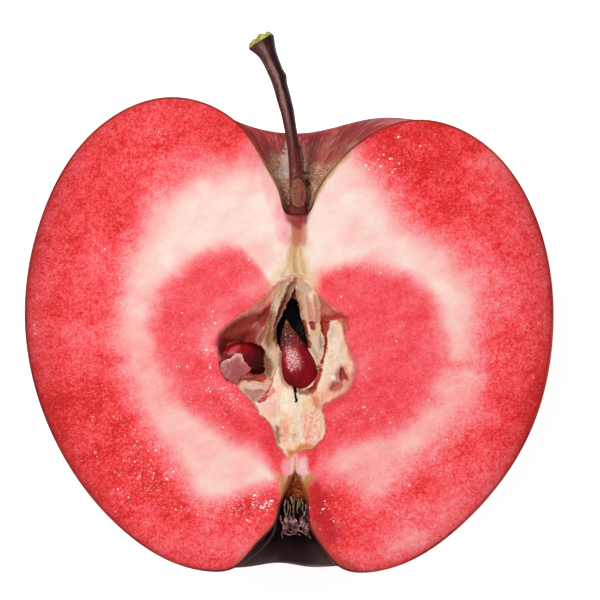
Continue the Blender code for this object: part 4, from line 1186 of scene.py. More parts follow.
    "bright tissue": ((254, 236, 212), 0.9, 0.03, 0.4, [(-0.9, -8.2), (-0.35, -8.2), (-0.1, -9.4),
     (0.1, -10.6), (-0.6, -11.6), (-1.6, -10.6), (-1.7, -9.2)]),
    "seat of the pip": (None, 0, 1.1, 0.85, drop_outline(*MIDDLE_PIP, grow=0.42)),
    "chamber top": ((134, 58, 46), 0.15, 0.9, 0.4, [(0.05, 5.55), (-0.3, 4.9), (-0.65, 4), (-1.2, 2.8),
     (-0.3, 2.4), (0.6, 2.8), (0.45, 3.4), (0.3, 4.2), (0.2, 5)]),
    # painted shade: the deep middle chamber is painted nearly black
    "middle chamber in painted shade": ((22, 5, 5), 0.2, 5, 0.3, [(-0.2, 3.9), (-0.75, 3.6), (-1, 3.1), (-1.4, 2.3),
     (-1.9, 1.3), (-2.4, 0.5), (-2.6, -0.5), (-2.5, -1.5), (-2.2, -2.3), (-1.95, -2.9), (-1.3, -3.4),
     (0, -3.5), (1.3, -3.2), (1.85, -2.5), (1.7, -1.5), (1.4, -0.4), (1.15, 0.4), (0.9, 1.2), (0.7, 2.2),
     (0.45, 3.2), (0.3, 3.7)]),
    "chamber lip": ((168, 74, 52), 0.25, 0.5, 0.3, [(0.95, 1), (1.25, 1.1), (1.5, 0.4), (1.8, -0.6),
     (2, -1.6), (2.1, -2.6), (1.85, -2.7), (1.65, -1.6), (1.3, -0.5), (1.05, 0.3)]),
    "brown round the apex": ((206, 164, 118), 0.5, 0.05, 0.4, [(-1.9, 6.65), (-0.8, 7.1), (0.1, 7.3),
     (1, 7.1), (2, 6.4), (1.2, 6.6), (0.1, 6.85), (-0.9, 6.75)]),
}
OUTLINE_PARTS = 4               # steps between two points of an outline
RINGS = 150
WARP = 0.10                     # how far torn edges waver, in millimetres
RAG = 0.05                      # and how ragged they are
SMOOTH_FROM = 0.8               # slopes wider than this are smooth, without the wavering


def signed_distance(x, y, outline):
    """Distance in millimetres to a smooth closed outline, positive inside it.

    A point is inside if a line from it to the right crosses the outline an odd number of times.
    """
    loop = smooth_loop(outline, OUTLINE_PARTS)
    loop = np.concatenate([loop, loop[:1]])
    within = np.zeros(x.shape, bool)
    for (ax, ay), (bx, by) in zip(loop[:-1], loop[1:]):
        crosses = (ay > y) != (by > y)
        within ^= crosses & (x < ax + (y - ay) * (bx - ax) / ((by - ay) or 1.0))
    return line_distance(x, y, loop) * np.where(within, 1.0, -1.0)


# %% Lay out the core
ring_share = np.linspace(0.0, 1.0, RINGS)[1:, None]
SPOKES = len(core_x)
ring_x, ring_y = about_hub(core_x, core_y, ring_share)
relief_x, relief_y = (np.append(hub, ring.ravel()) for hub, ring in zip(CORE_HUB, (ring_x, ring_y)))
to_edge = core_reach(rim_way) * (1.0 - ring_share)
to_edge = np.append(to_edge.max(), to_edge.ravel())


def ripple(cell, seed, octaves):
    """Noise over the whole core."""
    return rough(relief_x, relief_y, cell, seed, octaves)


torn_x = relief_x + WARP * ripple(0.5, 71, 4) + RAG * ripple(0.14, 76, 2)
torn_y = relief_y + WARP * ripple(0.5, 81, 4) + RAG * ripple(0.14, 86, 2)
fibre = rough(relief_x + 0.12 * relief_y + 0.35 * ripple(2.5, 96, 2), relief_y / 4.0, 0.26, 91, 3)
lump = ripple(0.5, 101, 3)
speckle = ripple(0.2, 106, 2)

core_depth = np.zeros_like(relief_x)
core_tone = np.zeros(relief_x.shape + (3,))
core_share = np.zeros_like(relief_x)
inside = {}
for name, (region_tone, fade, depth, slope, outline) in REGIONS.items():
    gap = signed_distance(torn_x, torn_y, outline)
    fall = signed_distance(relief_x, relief_y, outline) if slope > SMOOTH_FROM else gap
    sink = ease(0.0, slope, fall)
    core_depth = core_depth * (1.0 - sink) + depth * sink
    if region_tone:
        inside[name] = share = ease(-0.5 * fade, 0.5 * fade, gap)
        core_tone = core_tone * (1.0 - share)[:, None] + tint(region_tone) * share[:, None]
        core_share = share + core_share * (1.0 - share)
core_tone /= np.maximum(core_share, 1e-6)[:, None]
print(len(REGIONS), "regions; the core reaches", round(float(core_depth.max()), 1), "mm deep")

# %% [markdown]
# The ribbons of tissue are fibrous and the pads below are rough and mottled with pink, so the tones
# are varied point by point: streaks along the fruit for the ribbons, small lumps for the pads.

# %% Fibres, lumps and the core's edge
pads = np.maximum(inside["rough pad"], inside["small pad"])
shade = 0.05 * fibre * (1.0 - pads) + 0.04 * lump + 0.07 * speckle
core_tone = core_tone * np.clip(1.0 + shade[:, None] * (0.5, 1.1, 1.6), 0.4, 1.4)
on_top = core_depth < 0.6
warm = 0.22 * (rough(relief_x, relief_y / 3.0, 0.8, 121, 3) * on_top)[:, None]
core_tone = core_tone * (1.0 + warm * (0.2, -0.5, -1.0))
mottling = rough(relief_x - 0.4 * relief_y, relief_y + 0.5 * relief_x, 0.24, 111, 3)
blotch = 0.6 * (ease(-0.1, 0.6, mottling) * pads)[:, None]
core_tone = core_tone * (1.0 - blotch) + blotch * tint((238, 116, 108))
core_depth = core_depth + (0.025 * fibre + 0.012 * speckle) * on_top + (0.07 * lump + 0.05) * pads
core_depth = np.maximum(core_depth, 0.0) * ease(0.0, 0.5, to_edge) + cut_relief(relief_x, relief_y)

# %% Make the core
CORE_GAP = 0.3                  # how far the core's underside stays above the bowl

core_top = place(relief_x, relief_y, core_depth)
ring_rows = RINGS - 1
core_quads = grid_faces(ring_rows, SPOKES, 1, closed=True)
hub_fan = fan_faces(0, 1 + np.arange(SPOKES), outward=False)
edge_row = 1 + (ring_rows - 1) * SPOKES + np.arange(SPOKES)
under_points, under_quads, under_fan = bowl(BOWL_DEPTH - CORE_GAP, edge_row, len(core_top))
core_finish = flesh_finish("core tissue")
core_piece = make_piece(
    "core_relief", np.concatenate([core_top, under_points]),
    [core_quads, hub_fan, under_quads, under_fan], core_finish.material, sharp=80)


def store_on_core(name, values, rest):
    """Store values of the core's relief; the hidden points under it get the value rest."""
    below = [(0, len(under_points))] + [(0, 0)] * (values.ndim - 1)
    store(core_piece, name, np.pad(values, below, constant_values=rest))


border_colour, border_share = patch_paint(relief_x, relief_y)
own = core_share[:, None]
store_on_core("pale", paleness(relief_x, relief_y), 0.5)
store_on_core("patch", border_colour * (1.0 - own) + core_tone * own, 0.0)
store_on_core("patch_share", np.maximum(core_share, border_share * (1.0 - core_share)), 0.0)
store_on_core("wet", glint_density_at(relief_x, relief_y), 0.0)
store(core_piece, "near_skin", 0.0)
store(core_piece, "grainy", HEART_GRAIN)
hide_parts("core")

# %% [markdown]
# Pips, stalk, sepals and fibres are all a profile carried along a path.  `rings_along` sets up a
# frame at every point of the path and lays the profile's points in it; `tube_piece` joins the rings
# and closes both ends with a point.

# %% Profiles carried along a path
def rings_along(path, sideways, upward):
    """Rings round a path of x, y, depth points, as x, y and height arrays in millimetres.

    ring point = path + sideways * across + upward * up, where across is square to the path and
    level, and up is square to both and points at the viewer.
    """
    path = np.asarray(path, float) * (1.0, 1.0, -1.0)
    along_path = np.gradient(path, axis=0)
    along_path /= np.linalg.norm(along_path, axis=1, keepdims=True)
    across = np.cross(along_path, (0.0, 0.0, 1.0))
    across /= np.linalg.norm(across, axis=1, keepdims=True)
    up = np.cross(across, along_path)
    return path[:, None] + sideways[..., None] * across[:, None] + upward[..., None] * up[:, None]


def tube_parts(rings, start, end, first=0):
    """Points and faces of a closed tube: rings of points between a start point and an end point."""
    rows, sides = rings.shape[:2]
    points = np.concatenate([[start], rings.reshape(-1, 3), [end]])
    quads = grid_faces(rows, sides, first + 1, closed=True)[:, ::-1]
    first_row = first + 1 + np.arange(sides)
    near = fan_faces(first, first_row)
    far = fan_faces(first + 1 + rows * sides, first_row + (rows - 1) * sides, outward=False)
    return points, quads, np.concatenate([near, far])


def to_frame(points):
    """Millimetres with height above the cut face to metres in the frame."""
    return place(points[:, 0], points[:, 1], -points[:, 2])


def tube_piece(name, rings, start, end, finish):
    """A closed tube as one piece."""
    points, quads, caps = tube_parts(rings, start, end)
    return make_piece(name, to_frame(points), [quads, caps], finish.material)

# %% [markdown]
# A ripe pip is a polished drop of dark red-brown.  Its upper half is duller and finely pitted, so the
# lamp's reflection breaks up there, and its speckled highlight is also painted in as a paler patch of
# fine specks, while the blunt lower end is smooth and deep red.  Both pips are painted darker towards
# their edges as shade.

# %% The finish of the pips
def pip_finish(name, tip_and_shade_tones, body_tones, edge_tone, turn_at, highlight_place, highlight_tones, gloss, relief):
    """Lacquer over a dark ground: share runs from the pointed tip, 0, to the blunt end, 1.

    The tip's tones give way to the body's between the two shares of turn_at; on the left pip they are
    painted shade.  side is -1 or 1 at the two edges, which are painted darker as shade.  The highlight's
    place (middle, reach along and across, the way it lies) gets a paler tone with fine specks, a
    painted highlight of the lamp.
    """
    coat = Finish(name)
    share, side = coat.attribute("share"), coat.attribute("side")
    x, y = coat.axes()[:2]
    pits = coat.grain(4200.0, 2.0, 0.6)
    streaks = coat.grain(900.0, 3.0, 0.6, coat.stretched((1.0, 0.35, 1.0)))
    low = (share + (streaks - 0.5) * 0.4).step(*turn_at)
    upper = coat.ramp(pits, zip((0.34, 0.58, 0.76), tip_and_shade_tones))
    lower = coat.ramp(streaks, zip((0.3, 0.7), body_tones))
    # painted shade: the ground darkens towards both edges
    ground = coat.blend((side * side).step(0.5, 1.0) * 0.6, coat.blend(low, upper, lower), tone(*edge_tone))
    # painted highlight: a paler patch with fine pale specks where the lamp reflects
    (highlight_x, highlight_y), reach, width, lies = highlight_place
    cosine, sine = math.cos(math.radians(lies)), math.sin(math.radians(lies))
    right, up = (x - highlight_x * UNIT) * (1.0 / UNIT), (y - highlight_y * UNIT) * (1.0 / UNIT)
    off = oval(right * cosine + up * sine, up * cosine - right * sine, 0.0, 0.0, 1.0 / reach, 1.0 / width)
    highlight_share = (off + (streaks - 0.5) * 1.6).step(1.15, 0.0)
    painted_glint = (coat.grain(6600.0, 2.0, 0.6) + (highlight_share - 0.5) * 0.2).step(0.54, 0.64) * highlight_share.step(0.05, 0.5)
    highlighted = coat.blend(highlight_share * 0.8, ground, tone(*highlight_tones[0]))
    glinted = coat.blend(painted_glint * highlight_tones[2], highlighted, tone(*highlight_tones[1]))
    tip = (share + (streaks - 0.5) * 0.06).step(0.10, 0.03)
    coat.set(Base_Color=coat.blend(tip, glinted, tone(206, 136, 84)), Roughness=0.26 + tip * 0.3,
             Specular_IOR_Level=gloss, Normal=coat.bump(pits * (1.3 - low), relief))
    return coat


# the ripe pip's paler speckled patch is its painted highlight, and its darker edges are painted shade
ripe_pip = pip_finish(
    "ripe pip", tip_and_shade_tones=((58, 20, 18), (120, 50, 44), (214, 176, 170)),
    body_tones=((104, 4, 12), (146, 8, 20)), edge_tone=(72, 10, 12), turn_at=(0.22, 0.50),
    highlight_place=((-0.25, -4.1), 2.1, 1.45, 105), highlight_tones=((188, 58, 64), (246, 206, 204), 0.8),
    gloss=0.14, relief=0.00018)
# on the left pip the dark tip tones and darker edges are painted shade, and the paler patch is its painted
# highlight
wet_pip = pip_finish(
    "wet pip", tip_and_shade_tones=((50, 12, 12), (66, 15, 15), (84, 20, 20)),
    body_tones=((140, 6, 14), (162, 14, 24)), edge_tone=(78, 8, 10), turn_at=(0.30, 0.80),
    highlight_place=((-8.0, -2.8), 1.0, 0.42, 30), highlight_tones=((206, 62, 74), (228, 110, 118), 0.3),
    gloss=0.08, relief=0.00003)
print("pips are painted by", len(ripe_pip.tree.nodes), "nodes")

# %% Make the pips
PIP_RINGS, PIP_SIDES = 72, 56


def make_pip(name, drop, depths, thick, finish, node):
    """A pip with the outline of a drop; depths are those of its tip and its end."""
    (tip_x, tip_y), (end_x, end_y), right, left = drop
    tip, end = np.array((tip_x, tip_y, depths[0])), np.array((end_x, end_y, depths[1]))
    share = 0.5 - 0.5 * np.cos(np.linspace(0.06, math.pi - 0.05, PIP_RINGS))
    around = circle(PIP_SIDES)[None, :]
    path = tip + (end - tip) * share[:, None]
    sides = [drop_width(share, side)[:, None] for side in (left, right)]
    width = np.where(np.cos(around) > 0.0, *sides)
    mean = 0.5 * (sides[0] + sides[1])
    height = 0.5 * thick * (mean / mean.max()) ** 0.8
    uneven = 1.0 + 0.012 * rough(share[:, None] * 9.0, np.cos(around) * 2.0, 1.0, 131, 2)
    rings = rings_along(path, width * np.cos(around) * uneven, height * np.sin(around) * uneven)
    piece = tube_piece(name, rings, tip * (1, 1, -1), end * (1, 1, -1), finish)
    store(piece, "share", [0.0, *np.repeat(share, PIP_SIDES), 1.0])
    store(piece, "side", [0.0, *np.tile(np.cos(around[0]), PIP_RINGS), 0.0])
    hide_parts(node)
    return piece


make_pip("pip_in_the_middle", MIDDLE_PIP, (1.9, 1.2), 2.7, ripe_pip, "pip_middle")
make_pip("pip_on_the_left", LEFT_PIP, (2.6, 2.4), 2.8, wet_pip, "pip_left")

# %% [markdown]
# A torn flap of the chamber's parchment lining lies over the left pip.  It is a thin plate: rings
# from its middle out to a ragged outline, once on top and once a tenth of a millimetre lower.

# %% The torn flap
FLAP_OUTLINE = [
    (-9.65, -4.5), (-8.9, -4.2), (-8.3, -3.8), (-7.9, -3.45), (-7.3, -3.4), (-7, -3.8), (-6.8, -4.4),
    (-6.4, -4.85), (-5.9, -5.2), (-6.1, -5.9), (-6.7, -6.2), (-7.15, -6.5), (-7.4, -7.1), (-7.45, -7.7),
    (-8.1, -7.35), (-8.8, -7), (-9.5, -6.3), (-10, -5.3)]
FLAP_MIDDLE = (-8.1, -5.4)
FLAP_HINGE = (-9.6, -7.0)       # the lower left corner, where it still hangs on the flesh
FLAP_RINGS = 16

flap_loop = smooth_loop(FLAP_OUTLINE, 10)
flap_loop = flap_loop + 0.11 * np.stack([rough(*flap_loop.T, 0.30, seed, 2) for seed in (141, 151)], axis=-1)
flap_share = np.linspace(0.0, 1.0, FLAP_RINGS + 1)[1:, None, None]
flap_grid = np.array(FLAP_MIDDLE) + (flap_loop - FLAP_MIDDLE) * flap_share
flap_points = np.concatenate([[FLAP_MIDDLE], flap_grid.reshape(-1, 2)])
from_hinge = np.hypot(flap_points[:, 0] - FLAP_HINGE[0], flap_points[:, 1] - FLAP_HINGE[1])
flap_depth = (0.62 * ease(0.8, 3.6, from_hinge) - 0.25 * ease(3.2, 4.4, from_hinge)
              + 0.05 * rough(*flap_points.T, 0.9, 161, 2))
flap_sides, flap_count = len(flap_loop), len(flap_points)
flap_edge = np.concatenate([[0.0], np.repeat(flap_share.ravel(), flap_sides)])
flap_thick = 0.14 * np.sqrt(1.0 - 0.85 * flap_edge ** 4)
top_face = grid_faces(FLAP_RINGS, flap_sides, 1, closed=True)
top_fan = fan_faces(0, 1 + np.arange(flap_sides), outward=False)
last_ring = 1 + (FLAP_RINGS - 1) * flap_sides + np.arange(flap_sides)
flap_side = strip_faces(last_ring, last_ring + flap_count)

parchment = Finish("torn parchment")
# the stored edge share paints light on the flap's upper edges
lightness = parchment.attribute("edge") + (parchment.grain(2400.0, 3.0) - 0.5) * 0.5
parchment.set(
    Base_Color=parchment.ramp(lightness, [
        (0.0, (170, 80, 80)), (0.45, (186, 96, 94)), (0.8, (214, 140, 132)), (1.0, (240, 190, 178))]),
    Roughness=0.45, Coat_Weight=0.1, Normal=parchment.bump(parchment.grain(1800.0, 3.0), 0.00012))
flap = make_piece(
    "torn_flap",
    np.concatenate([place(*flap_points.T, depth) for depth in (flap_depth, flap_depth + flap_thick)]),
    [top_face, top_fan, flap_side, top_face[:, ::-1] + flap_count, top_fan[:, ::-1] + flap_count],
    parchment.material)
lit_edge = ease(0.35, 1.0, flap_edge) * ease(-5.6, -4.2, flap_points[:, 1]) * 0.95
store(flap, "edge", np.concatenate([lit_edge, lit_edge]))

# %% [markdown]
# The stalk is woody and nearly black, with a greenish torn end.  Its foot was sliced by the knife, so
# the points that would stand above the cut face are pressed down onto it, and that flat oval is paler
# wood.  Below the oval the stalk runs on into the flesh as a dark root.

# %% The stalk
# x, y and depth of its middle, and its radius, in millimetres
STALK = [
    ((0.35, 14, 1.6), 0.8), ((0.36, 15.4, 1.05), 1.35), ((0.42, 16.3, 0.85), 1.18),
    ((0.44, 17.2, 0.46), 1.14), ((0.4, 18.6, 0.4), 1.1), ((0.22, 19.9, 0.95), 1), ((0.08, 21.2, 1.15), 0.9),
    ((-0.08, 22.7, 1.1), 0.83), ((-0.35, 25.1, 1.1), 0.81), ((-0.72, 27.2, 1.1), 0.83),
    ((-1.02, 28.8, 1.1), 0.89), ((-1.5, 30.6, 1.1), 0.95), ((-2.2, 33, 1.12), 0.99),
    ((-2.95, 34.9, 1.18), 1.08), ((-3.6, 36.4, 1.3), 1.22), ((-4.15, 37.5, 1.45), 1.62),
    ((-4.5, 38.1, 1.55), 1.92)]
STALK_SIDES = 48
STALK_FACE = 0.03               # how far the sliced foot lies below the cut face
TORN_RINGS = 6

stalk_curve = smooth_curve([(*middle, radius) for middle, radius in STALK], 8)
stalk_around = circle(STALK_SIDES)[None, :]
stalk_rows = len(stalk_curve)
stalk_height = stalk_curve[:, 1:2]
ribs = rough(stalk_around * 5.0 + 0.0 * stalk_height, stalk_height / 5.0, 1.0, 171, 2)
knob = np.exp(-((stalk_height - 33.3) / 0.55) ** 2) * np.exp((np.cos(stalk_around) - 1.0) * 3.0)
lumpy = 1.0 + 0.035 * ribs + 0.22 * knob
radius = stalk_curve[:, 3:4] * lumpy
flare = ease(36.0, 38.0, stalk_height)
stalk_rings = rings_along(stalk_curve[:, :3], radius * np.cos(stalk_around),
                          radius * np.sin(stalk_around) * (1.0 - 0.35 * flare))
sliced = np.clip((stalk_rings[..., 2] + STALK_FACE) / 0.25, 0.0, 1.0)
stalk_rings[..., 2] = np.minimum(stalk_rings[..., 2], -STALK_FACE)
# the torn end: rings that shrink to a rough face, tilted so that it shows
end_way = stalk_rings[-1] - stalk_rings[-1].mean(axis=0)
heading = np.array([-0.48, 0.88, 0.0])
shrink = np.linspace(1.0, 0.0, TORN_RINGS + 2)[1:-1, None, None]
tilt = (0.5 - 0.75 * np.sin(stalk_around[0]))[None, :, None]
rag = 0.22 * rough(stalk_around[0] * 3.0, np.arange(TORN_RINGS)[:, None] * 1.0, 1.0, 181, 2)[..., None]
torn = (stalk_rings[-1].mean(axis=0) + end_way[None] * shrink
        + heading * (0.15 + (tilt + rag) * (0.35 + 0.65 * shrink)))
stalk_rings = np.concatenate([stalk_rings, torn])
stalk_end = torn[-1].mean(axis=0)
print("the stalk has", len(stalk_rings), "rings")

# %% The finish of the stalk
bark = Finish("stalk bark")
bark_height, bark_cut, bark_pith = bark.attribute("height"), bark.attribute("cut"), bark.attribute("pith")
lengthwise = bark.grain(1500.0, 4.0, 0.65, bark.stretched((1.0, 0.12, 1.0), turn=-0.22))
bark_grain = bark.grain(2600.0, 3.0, 0.6)
bark_tone = bark.ramp(lengthwise * 0.6 + bark_grain * 0.4, [
    (0.30, (28, 8, 10)), (0.50, (64, 24, 28)), (0.70, (122, 66, 62))])
aside = bark.attribute("aside")
# painted shade on the right side, and a painted lengthwise highlight left of the middle with a broader
# painted light around it
shaded_bark = bark.blend(aside.step(0.0, 0.7) * 0.75, bark_tone, tone(36, 14, 14))
streak_off = (aside + 0.14 + (lengthwise - 0.5) * 0.7 + (bark_grain - 0.5) * 0.5) * 3.0
lit_part = bark_height.step(24.0, 32.0) * bark_height.step(36.5, 34.5) * 0.42 + 0.14
broad_painted_light = bark.blend(((aside + 0.35) * (aside + 0.35)).step(0.3, 0.0) * 0.22, shaded_bark, tone(150, 96, 92))
bark_lit = bark.blend((streak_off * streak_off).step(1.0, 0.0) * lit_part, broad_painted_light, tone(172, 136, 130))
foot = bark_height.step(28.5, 20.5)
red_bark = bark.ramp(bark_grain, [(0.3, (72, 20, 22)), (0.7, (136, 56, 52))])
reddened = bark.blend(foot * 0.8, bark_lit, red_bark)
wood = bark.ramp(lengthwise * 0.5 + bark_grain * 0.5, [
    (0.30, (96, 46, 34)), (0.50, (142, 84, 60)), (0.72, (182, 126, 92))])
frayed = bark_cut + (lengthwise - 0.5) * 0.5
bordered = bark.blend(frayed.step(0.0, 0.5) * 0.75, reddened, tone(58, 20, 20))
to_right = bark.axes()[0].step(-0.0002, 0.0009)
red_wood = bark.ramp(bark_grain, [(0.3, (98, 30, 32)), (0.7, (156, 70, 66))])
two_woods = bark.blend(to_right * 0.7, wood, red_wood)
sliced_wood = bark.blend(frayed.step(0.6, 1.0), bordered, two_woods)
pith_tone = bark.ramp(bark_grain * 0.5 + lengthwise * 0.5, [
    (0.32, (78, 80, 26)), (0.45, (138, 146, 58)), (0.58, (182, 188, 102)), (0.72, (222, 222, 166))])
bark.set(Base_Color=bark.blend(bark_pith, sliced_wood, pith_tone), Roughness=0.28 + bark_pith * 0.4,
         Specular_IOR_Level=0.13, Normal=bark.bump(lengthwise * 0.6 + bark_grain * 0.4, 0.00014))

# %% Make the stalk
stalk = tube_piece("stalk_with_root", stalk_rings, np.array(STALK[0][0]) * (1, 1, -1) + (0.0, -0.4, 0.0),
                   stalk_end, bark)
ring_height = np.concatenate([np.broadcast_to(stalk_height, (stalk_rows, STALK_SIDES)).ravel(),
                              np.full(TORN_RINGS * STALK_SIDES, 40.0)])
is_pith = np.concatenate([np.zeros(stalk_rows * STALK_SIDES), np.ones(TORN_RINGS * STALK_SIDES)])
wooden = ease(16.0, 16.7, stalk_height) * (1.0 - ease(20.5, 21.0, stalk_height))
cut_flat = np.concatenate([(sliced * wooden).ravel(), np.zeros(TORN_RINGS * STALK_SIDES)])
to_the_side = np.tile(np.cos(stalk_around[0]), len(stalk_rings))
# each value at the first point, on the rings and at the last point
for label, first, values, last in (("height", 13.0, ring_height, 40.0), ("pith", 0.0, is_pith, 1.0),
                                   ("cut", 0.0, cut_flat, 0.0), ("aside", 0.0, to_the_side, 0.0)):
    store(stalk, label, np.concatenate([[first], values, [last]]))
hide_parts("stalk")

# %% [markdown]
# At the other end the flower left its traces: a few dried sepals curled outwards round the mouth of
# the calyx tube, and the tan threads of the stamens inside it.

# %% Sepals and stamens
dried = Finish("dried sepal")
crumple = dried.grain(1500.0, 4.0, 0.65)
dried.set(Base_Color=dried.ramp(crumple, [
    (0.36, (36, 12, 14)), (0.46, (104, 54, 54)), (0.56, (160, 104, 104)), (0.68, (222, 178, 174))]),
    Roughness=0.7, Normal=dried.bump(crumple, 0.0004))
SEPAL_RINGS, SEPAL_SIDES = 28, 20


def make_sepal(name, route, half_width, node, seed):
    """A dried leaf: half-width = widest * sin^0.7 of the way along, cupped and crumpled."""
    middle = smooth_curve(route, SEPAL_RINGS // (len(route) - 1))
    rows = len(middle)
    share = np.linspace(0.03, 0.97, rows)[:, None]
    around = circle(SEPAL_SIDES)[None, :]
    width = half_width * (0.35 + 0.65 * np.sin(math.pi * share ** 0.8)) * (1.0 - share ** 5)
    fold = 0.24 * rough(np.cos(around) * 3.5 + seed, share * 8.0, 1.0, 190 + seed, 3)
    sideways = width * np.cos(around) * (1.0 + 0.5 * fold)
    upward = 0.13 * np.sin(around) - 0.35 * half_width * np.cos(around) ** 2 * share + fold
    rings = rings_along(middle, sideways, upward)
    piece = tube_piece(name, rings, rings[0].mean(axis=0), rings[-1].mean(axis=0), dried)
    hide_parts(node)


# name, node that it stands for, half width and the route of its middle
SEPALS = [
    ("sepal_right", "sepal_1", 0.42, [
        (0.9, -25.2, 1.1), (1.1, -26.1, 0.75), (1.5, -26.9, 0.7), (2.1, -27.9, 1.1)]),
    ("sepal_behind", "sepal_2", 0.7, [
        (-0.4, -25.1, 1.3), (-0.3, -25.9, 0.8), (-0.1, -26.6, 0.9), (0.1, -27.3, 1.4)]),
    ("sepal_left", "sepal_3", 0.48, [
        (-1, -25, 1.2), (-1.1, -25.9, 0.8), (-1.3, -26.8, 0.8), (-1.6, -27.8, 1.2)])]
for seed, (name, node, half_width, route) in enumerate(SEPALS, 1):
    make_sepal(name, route, half_width, node, seed)

straw = Finish("stamen straw")
straw.set(Base_Color=straw.ramp(straw.grain(2200.0, 3.0), [
    (0.3, (84, 58, 42)), (0.5, (146, 112, 84)), (0.7, (196, 168, 132))]), Roughness=0.7)
# the route of every thread, and its radius in millimetres
STAMENS = [
    ([(-1.25, -22.9, 0.9), (-1.4, -23.9, 0.6), (-1.15, -25.1, 0.8)], 0.11),
    ([(-0.95, -23.1, 1.2), (-0.9, -24, 1), (-1.05, -24.9, 0.9)], 0.08),
    ([(-0.55, -22.5, 0.8), (-0.25, -23.6, 0.5), (-0.15, -24.9, 0.8)], 0.13),
    ([(-0.1, -22.7, 1), (-0.12, -23.5, 0.8), (-0.3, -24.6, 0.9)], 0.08),
    ([(0.55, -22.8, 0.8), (0.32, -23.7, 0.6), (0.35, -24.7, 0.9)], 0.11),
    ([(0.85, -22.7, 0.9), (0.65, -23.4, 0.8), (0.2, -24.4, 1)], 0.07),
    ([(0.9, -22.9, 0.7), (1.05, -23.5, 0.6), (0.95, -24.2, 0.9)], 0.08),
    ([(1.45, -23.4, 0.4), (1.45, -24.2, 0.4), (1.1, -25.1, 0.7)], 0.12),
    ([(-0.7, -23.6, 1.4), (-0.6, -24.4, 1.3), (-0.75, -25, 1.2)], 0.07),
]
THREAD_STEPS, THREAD_SIDES = 8, 8


def make_threads(name, threads, finish, seed):
    """Thin closed tubes through the given routes, all in one piece."""
    around = circle(THREAD_SIDES)[None, :]
    points, quads, caps, start = [], [], [], 0
    for number, (route, thick) in enumerate(threads):
        middle = smooth_curve(route, THREAD_STEPS)
        share = np.linspace(0.0, 1.0, len(middle))[:, None]
        size = thick * (1.0 - 0.45 * share + 0.25 * rough(share * 6.0, 0.0 * share + number, 1.0, seed, 2))
        rings = rings_along(middle, size * np.cos(around), size * np.sin(around))
        tube, sides, ends = tube_parts(rings, rings[0].mean(axis=0), rings[-1].mean(axis=0), first=start)
        points.append(tube)
        quads.append(sides)
        caps.append(ends)
        start += len(tube)
    piece = make_piece(name, to_frame(np.concatenate(points)), [np.concatenate(quads), np.concatenate(caps)],
                       finish.material)
    return piece


make_threads("stamens", STAMENS, straw, 201)
TANGLE = [
    ([(-1.95, -25, 0.5), (-1.75, -25.8, 0.3), (-1.45, -26.6, 0.35), (-1.75, -27.4, 0.6),
      (-1.6, -28, 0.9)], 0.13),
    ([(-1.3, -26.6, 0.4), (-0.5, -27.1, 0.3), (0.4, -26.95, 0.3), (1.2, -27.3, 0.4),
      (2.2, -28, 0.8)], 0.12),
    ([(0.4, -26.9, 0.5), (0.75, -26.2, 0.3), (1.4, -25.95, 0.3), (1.85, -26.5, 0.4),
      (1.6, -27.3, 0.6)], 0.12),
    ([(-0.7, -24.9, 0.7), (-0.3, -25.7, 0.35), (0.4, -26.3, 0.4), (0.9, -26.4, 0.6)], 0.12),
    ([(1.75, -25, 0.4), (1.85, -25.8, 0.4), (1.4, -26.7, 0.5), (0.8, -27, 0.6)], 0.1),
    ([(-1.6, -26.7, 0.5), (-0.9, -27.5, 0.5), (0.1, -27.35, 0.5), (0.7, -27.6, 0.7)], 0.11),
    ([(-1.2, -25.3, 0.7), (-0.9, -26.2, 0.35), (-1.2, -27, 0.5)], 0.1),
]
make_threads("sepal_tangle", TANGLE, dried, 211)

# %% [markdown]
# Loose fibres of pale tissue bridge the tears in the core and bristle along the edges of its ribbons.

# %% Loose fibres
fibre_finish = Finish("loose fibre")
fibre_finish.set(Base_Color=fibre_finish.ramp(fibre_finish.grain(2600.0, 3.0), [
    (0.3, (206, 156, 126)), (0.5, (232, 194, 162)), (0.7, (248, 224, 200))]), Roughness=0.6)
# where a fringe starts and ends, the way its fibres point, their length, and how many there are
FRINGES = [
    ((-2.95, -6.9), (-4.2, -9.6), (-0.75, 0.25), 0.6, 16),
    ((-2.9, 3.9), (-3.1, 2.2), (-0.6, -0.5), 0.45, 6), ((2.6, 3.9), (2.75, 2.4), (0.6, -0.6), 0.5, 5),
    ((2.4, -8.4), (3.3, -8.5), (-0.4, -0.8), 0.55, 6), ((3.9, -4.8), (3.4, -5.3), (-0.9, -0.3), 0.5, 5),
    ((1.8, -9.2), (2.7, -11), (0.7, -0.6), 0.5, 6), ((3.9, -11.4), (3.9, -14.2), (0.6, -0.5), 0.3, 12),
    ((-2.7, -13), (-2.1, -16), (-0.5, -0.5), 0.3, 8), ((0.55, 3.6), (1, 1.4), (-0.8, -0.1), 0.25, 8)]
bristle = np.random.default_rng(311)
fringe_threads = []
for start, end, way, length, number in FRINGES:
    for share in (np.arange(number) + bristle.uniform(0.0, 1.0, number)) / number:
        root = np.array(start) + (np.array(end) - np.array(start)) * share + bristle.normal(0.0, 0.06, 2)
        turned_way = np.array(way) + bristle.normal(0.0, 0.35, 2)
        reach = length * bristle.uniform(0.5, 1.3)
        bend = root + 0.5 * reach * turned_way + bristle.normal(0.0, 0.05, 2)
        fringe_threads.append(([(*root, 0.05), (*bend, -0.03), (*(root + reach * turned_way), 0.04)],
                               bristle.uniform(0.022, 0.038)))
make_threads("core_fibres", fringe_threads, fibre_finish, 321)
print(len(fringe_threads), "loose fibres")

# %% [markdown]
# The floor is a plain pale sheet that carries on past the view.  A soft lamp stands high at the
# upper left, and a white sky fills the shadows from all round.

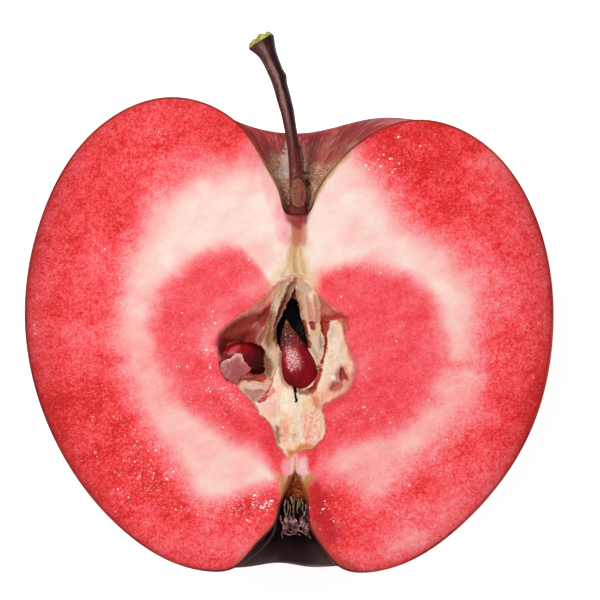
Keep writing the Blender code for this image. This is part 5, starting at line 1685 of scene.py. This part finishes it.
# %% Floor, light and camera
FLOOR_HALF = 1.5
LIGHT_AWAY = 1.1
LIGHT_TURN, LIGHT_HEIGHT = math.radians(135.0), math.radians(58.0)
CAMERA_AWAY = 0.285
VIEW_WIDTH = 79.68 * UNIT
CAMERA_X, CAMERA_Y = 0.664 * UNIT, 3.72 * UNIT

floor_finish = Finish("pale floor")
floor_finish.set(
    Base_Color=floor_finish.blend(
        floor_finish.grain(6.0, 2.0), (0.88, 0.88, 0.88, 1.0), (0.92, 0.92, 0.92, 1.0)),
    Roughness=0.9, Emission_Color=(1.0, 1.0, 1.0, 1.0), Emission_Strength=0.72)
floor_mesh = bpy.data.meshes.new("floor")
floor_mesh.from_pydata(
    [(-FLOOR_HALF, -FLOOR_HALF, 0), (FLOOR_HALF, -FLOOR_HALF, 0), (FLOOR_HALF, FLOOR_HALF, 0),
     (-FLOOR_HALF, FLOOR_HALF, 0)], [], [(0, 1, 2, 3)])
floor_mesh.materials.append(floor_finish.material)
floor = bpy.data.objects.new("floor", floor_mesh)
bpy.context.scene.collection.objects.link(floor)

sky = bpy.data.worlds.new("white sky")
sky.use_nodes = True
sky.node_tree.nodes["Background"].inputs["Color"].default_value = (1.0, 1.0, 1.0, 1.0)
sky.node_tree.nodes["Background"].inputs["Strength"].default_value = 0.40
bpy.context.scene.world = sky
bpy.context.scene.view_settings.view_transform = "Standard"


def aim(target, source):
    """The turn that points an object's -Z from source to target."""
    return (Vector(target) - Vector(source)).to_track_quat("-Z", "Y").to_euler()


lamp_data = bpy.data.lights.new("key", "AREA")
lamp_data.shape, lamp_data.size, lamp_data.energy = "DISK", 0.28, 8.2
lamp = bpy.data.objects.new("key", lamp_data)
lamp.location = (LIGHT_AWAY * math.cos(LIGHT_HEIGHT) * math.cos(LIGHT_TURN),
                 LIGHT_AWAY * math.cos(LIGHT_HEIGHT) * math.sin(LIGHT_TURN),
                 CUT + LIGHT_AWAY * math.sin(LIGHT_HEIGHT))
lamp.rotation_euler = aim((0.0, 0.0, CUT), lamp.location)
bpy.context.scene.collection.objects.link(lamp)

camera_data = bpy.data.cameras.new("view")
camera_data.sensor_width = 36.0
camera_data.lens = camera_data.sensor_width * CAMERA_AWAY / VIEW_WIDTH
camera = bpy.data.objects.new("view", camera_data)
camera.location = (CAMERA_X, CAMERA_Y, CUT + CAMERA_AWAY)
bpy.context.scene.collection.objects.link(camera)
bpy.context.scene.camera = camera
print(f"lens {camera_data.lens:.1f} mm, {CAMERA_AWAY} m above the cut face")
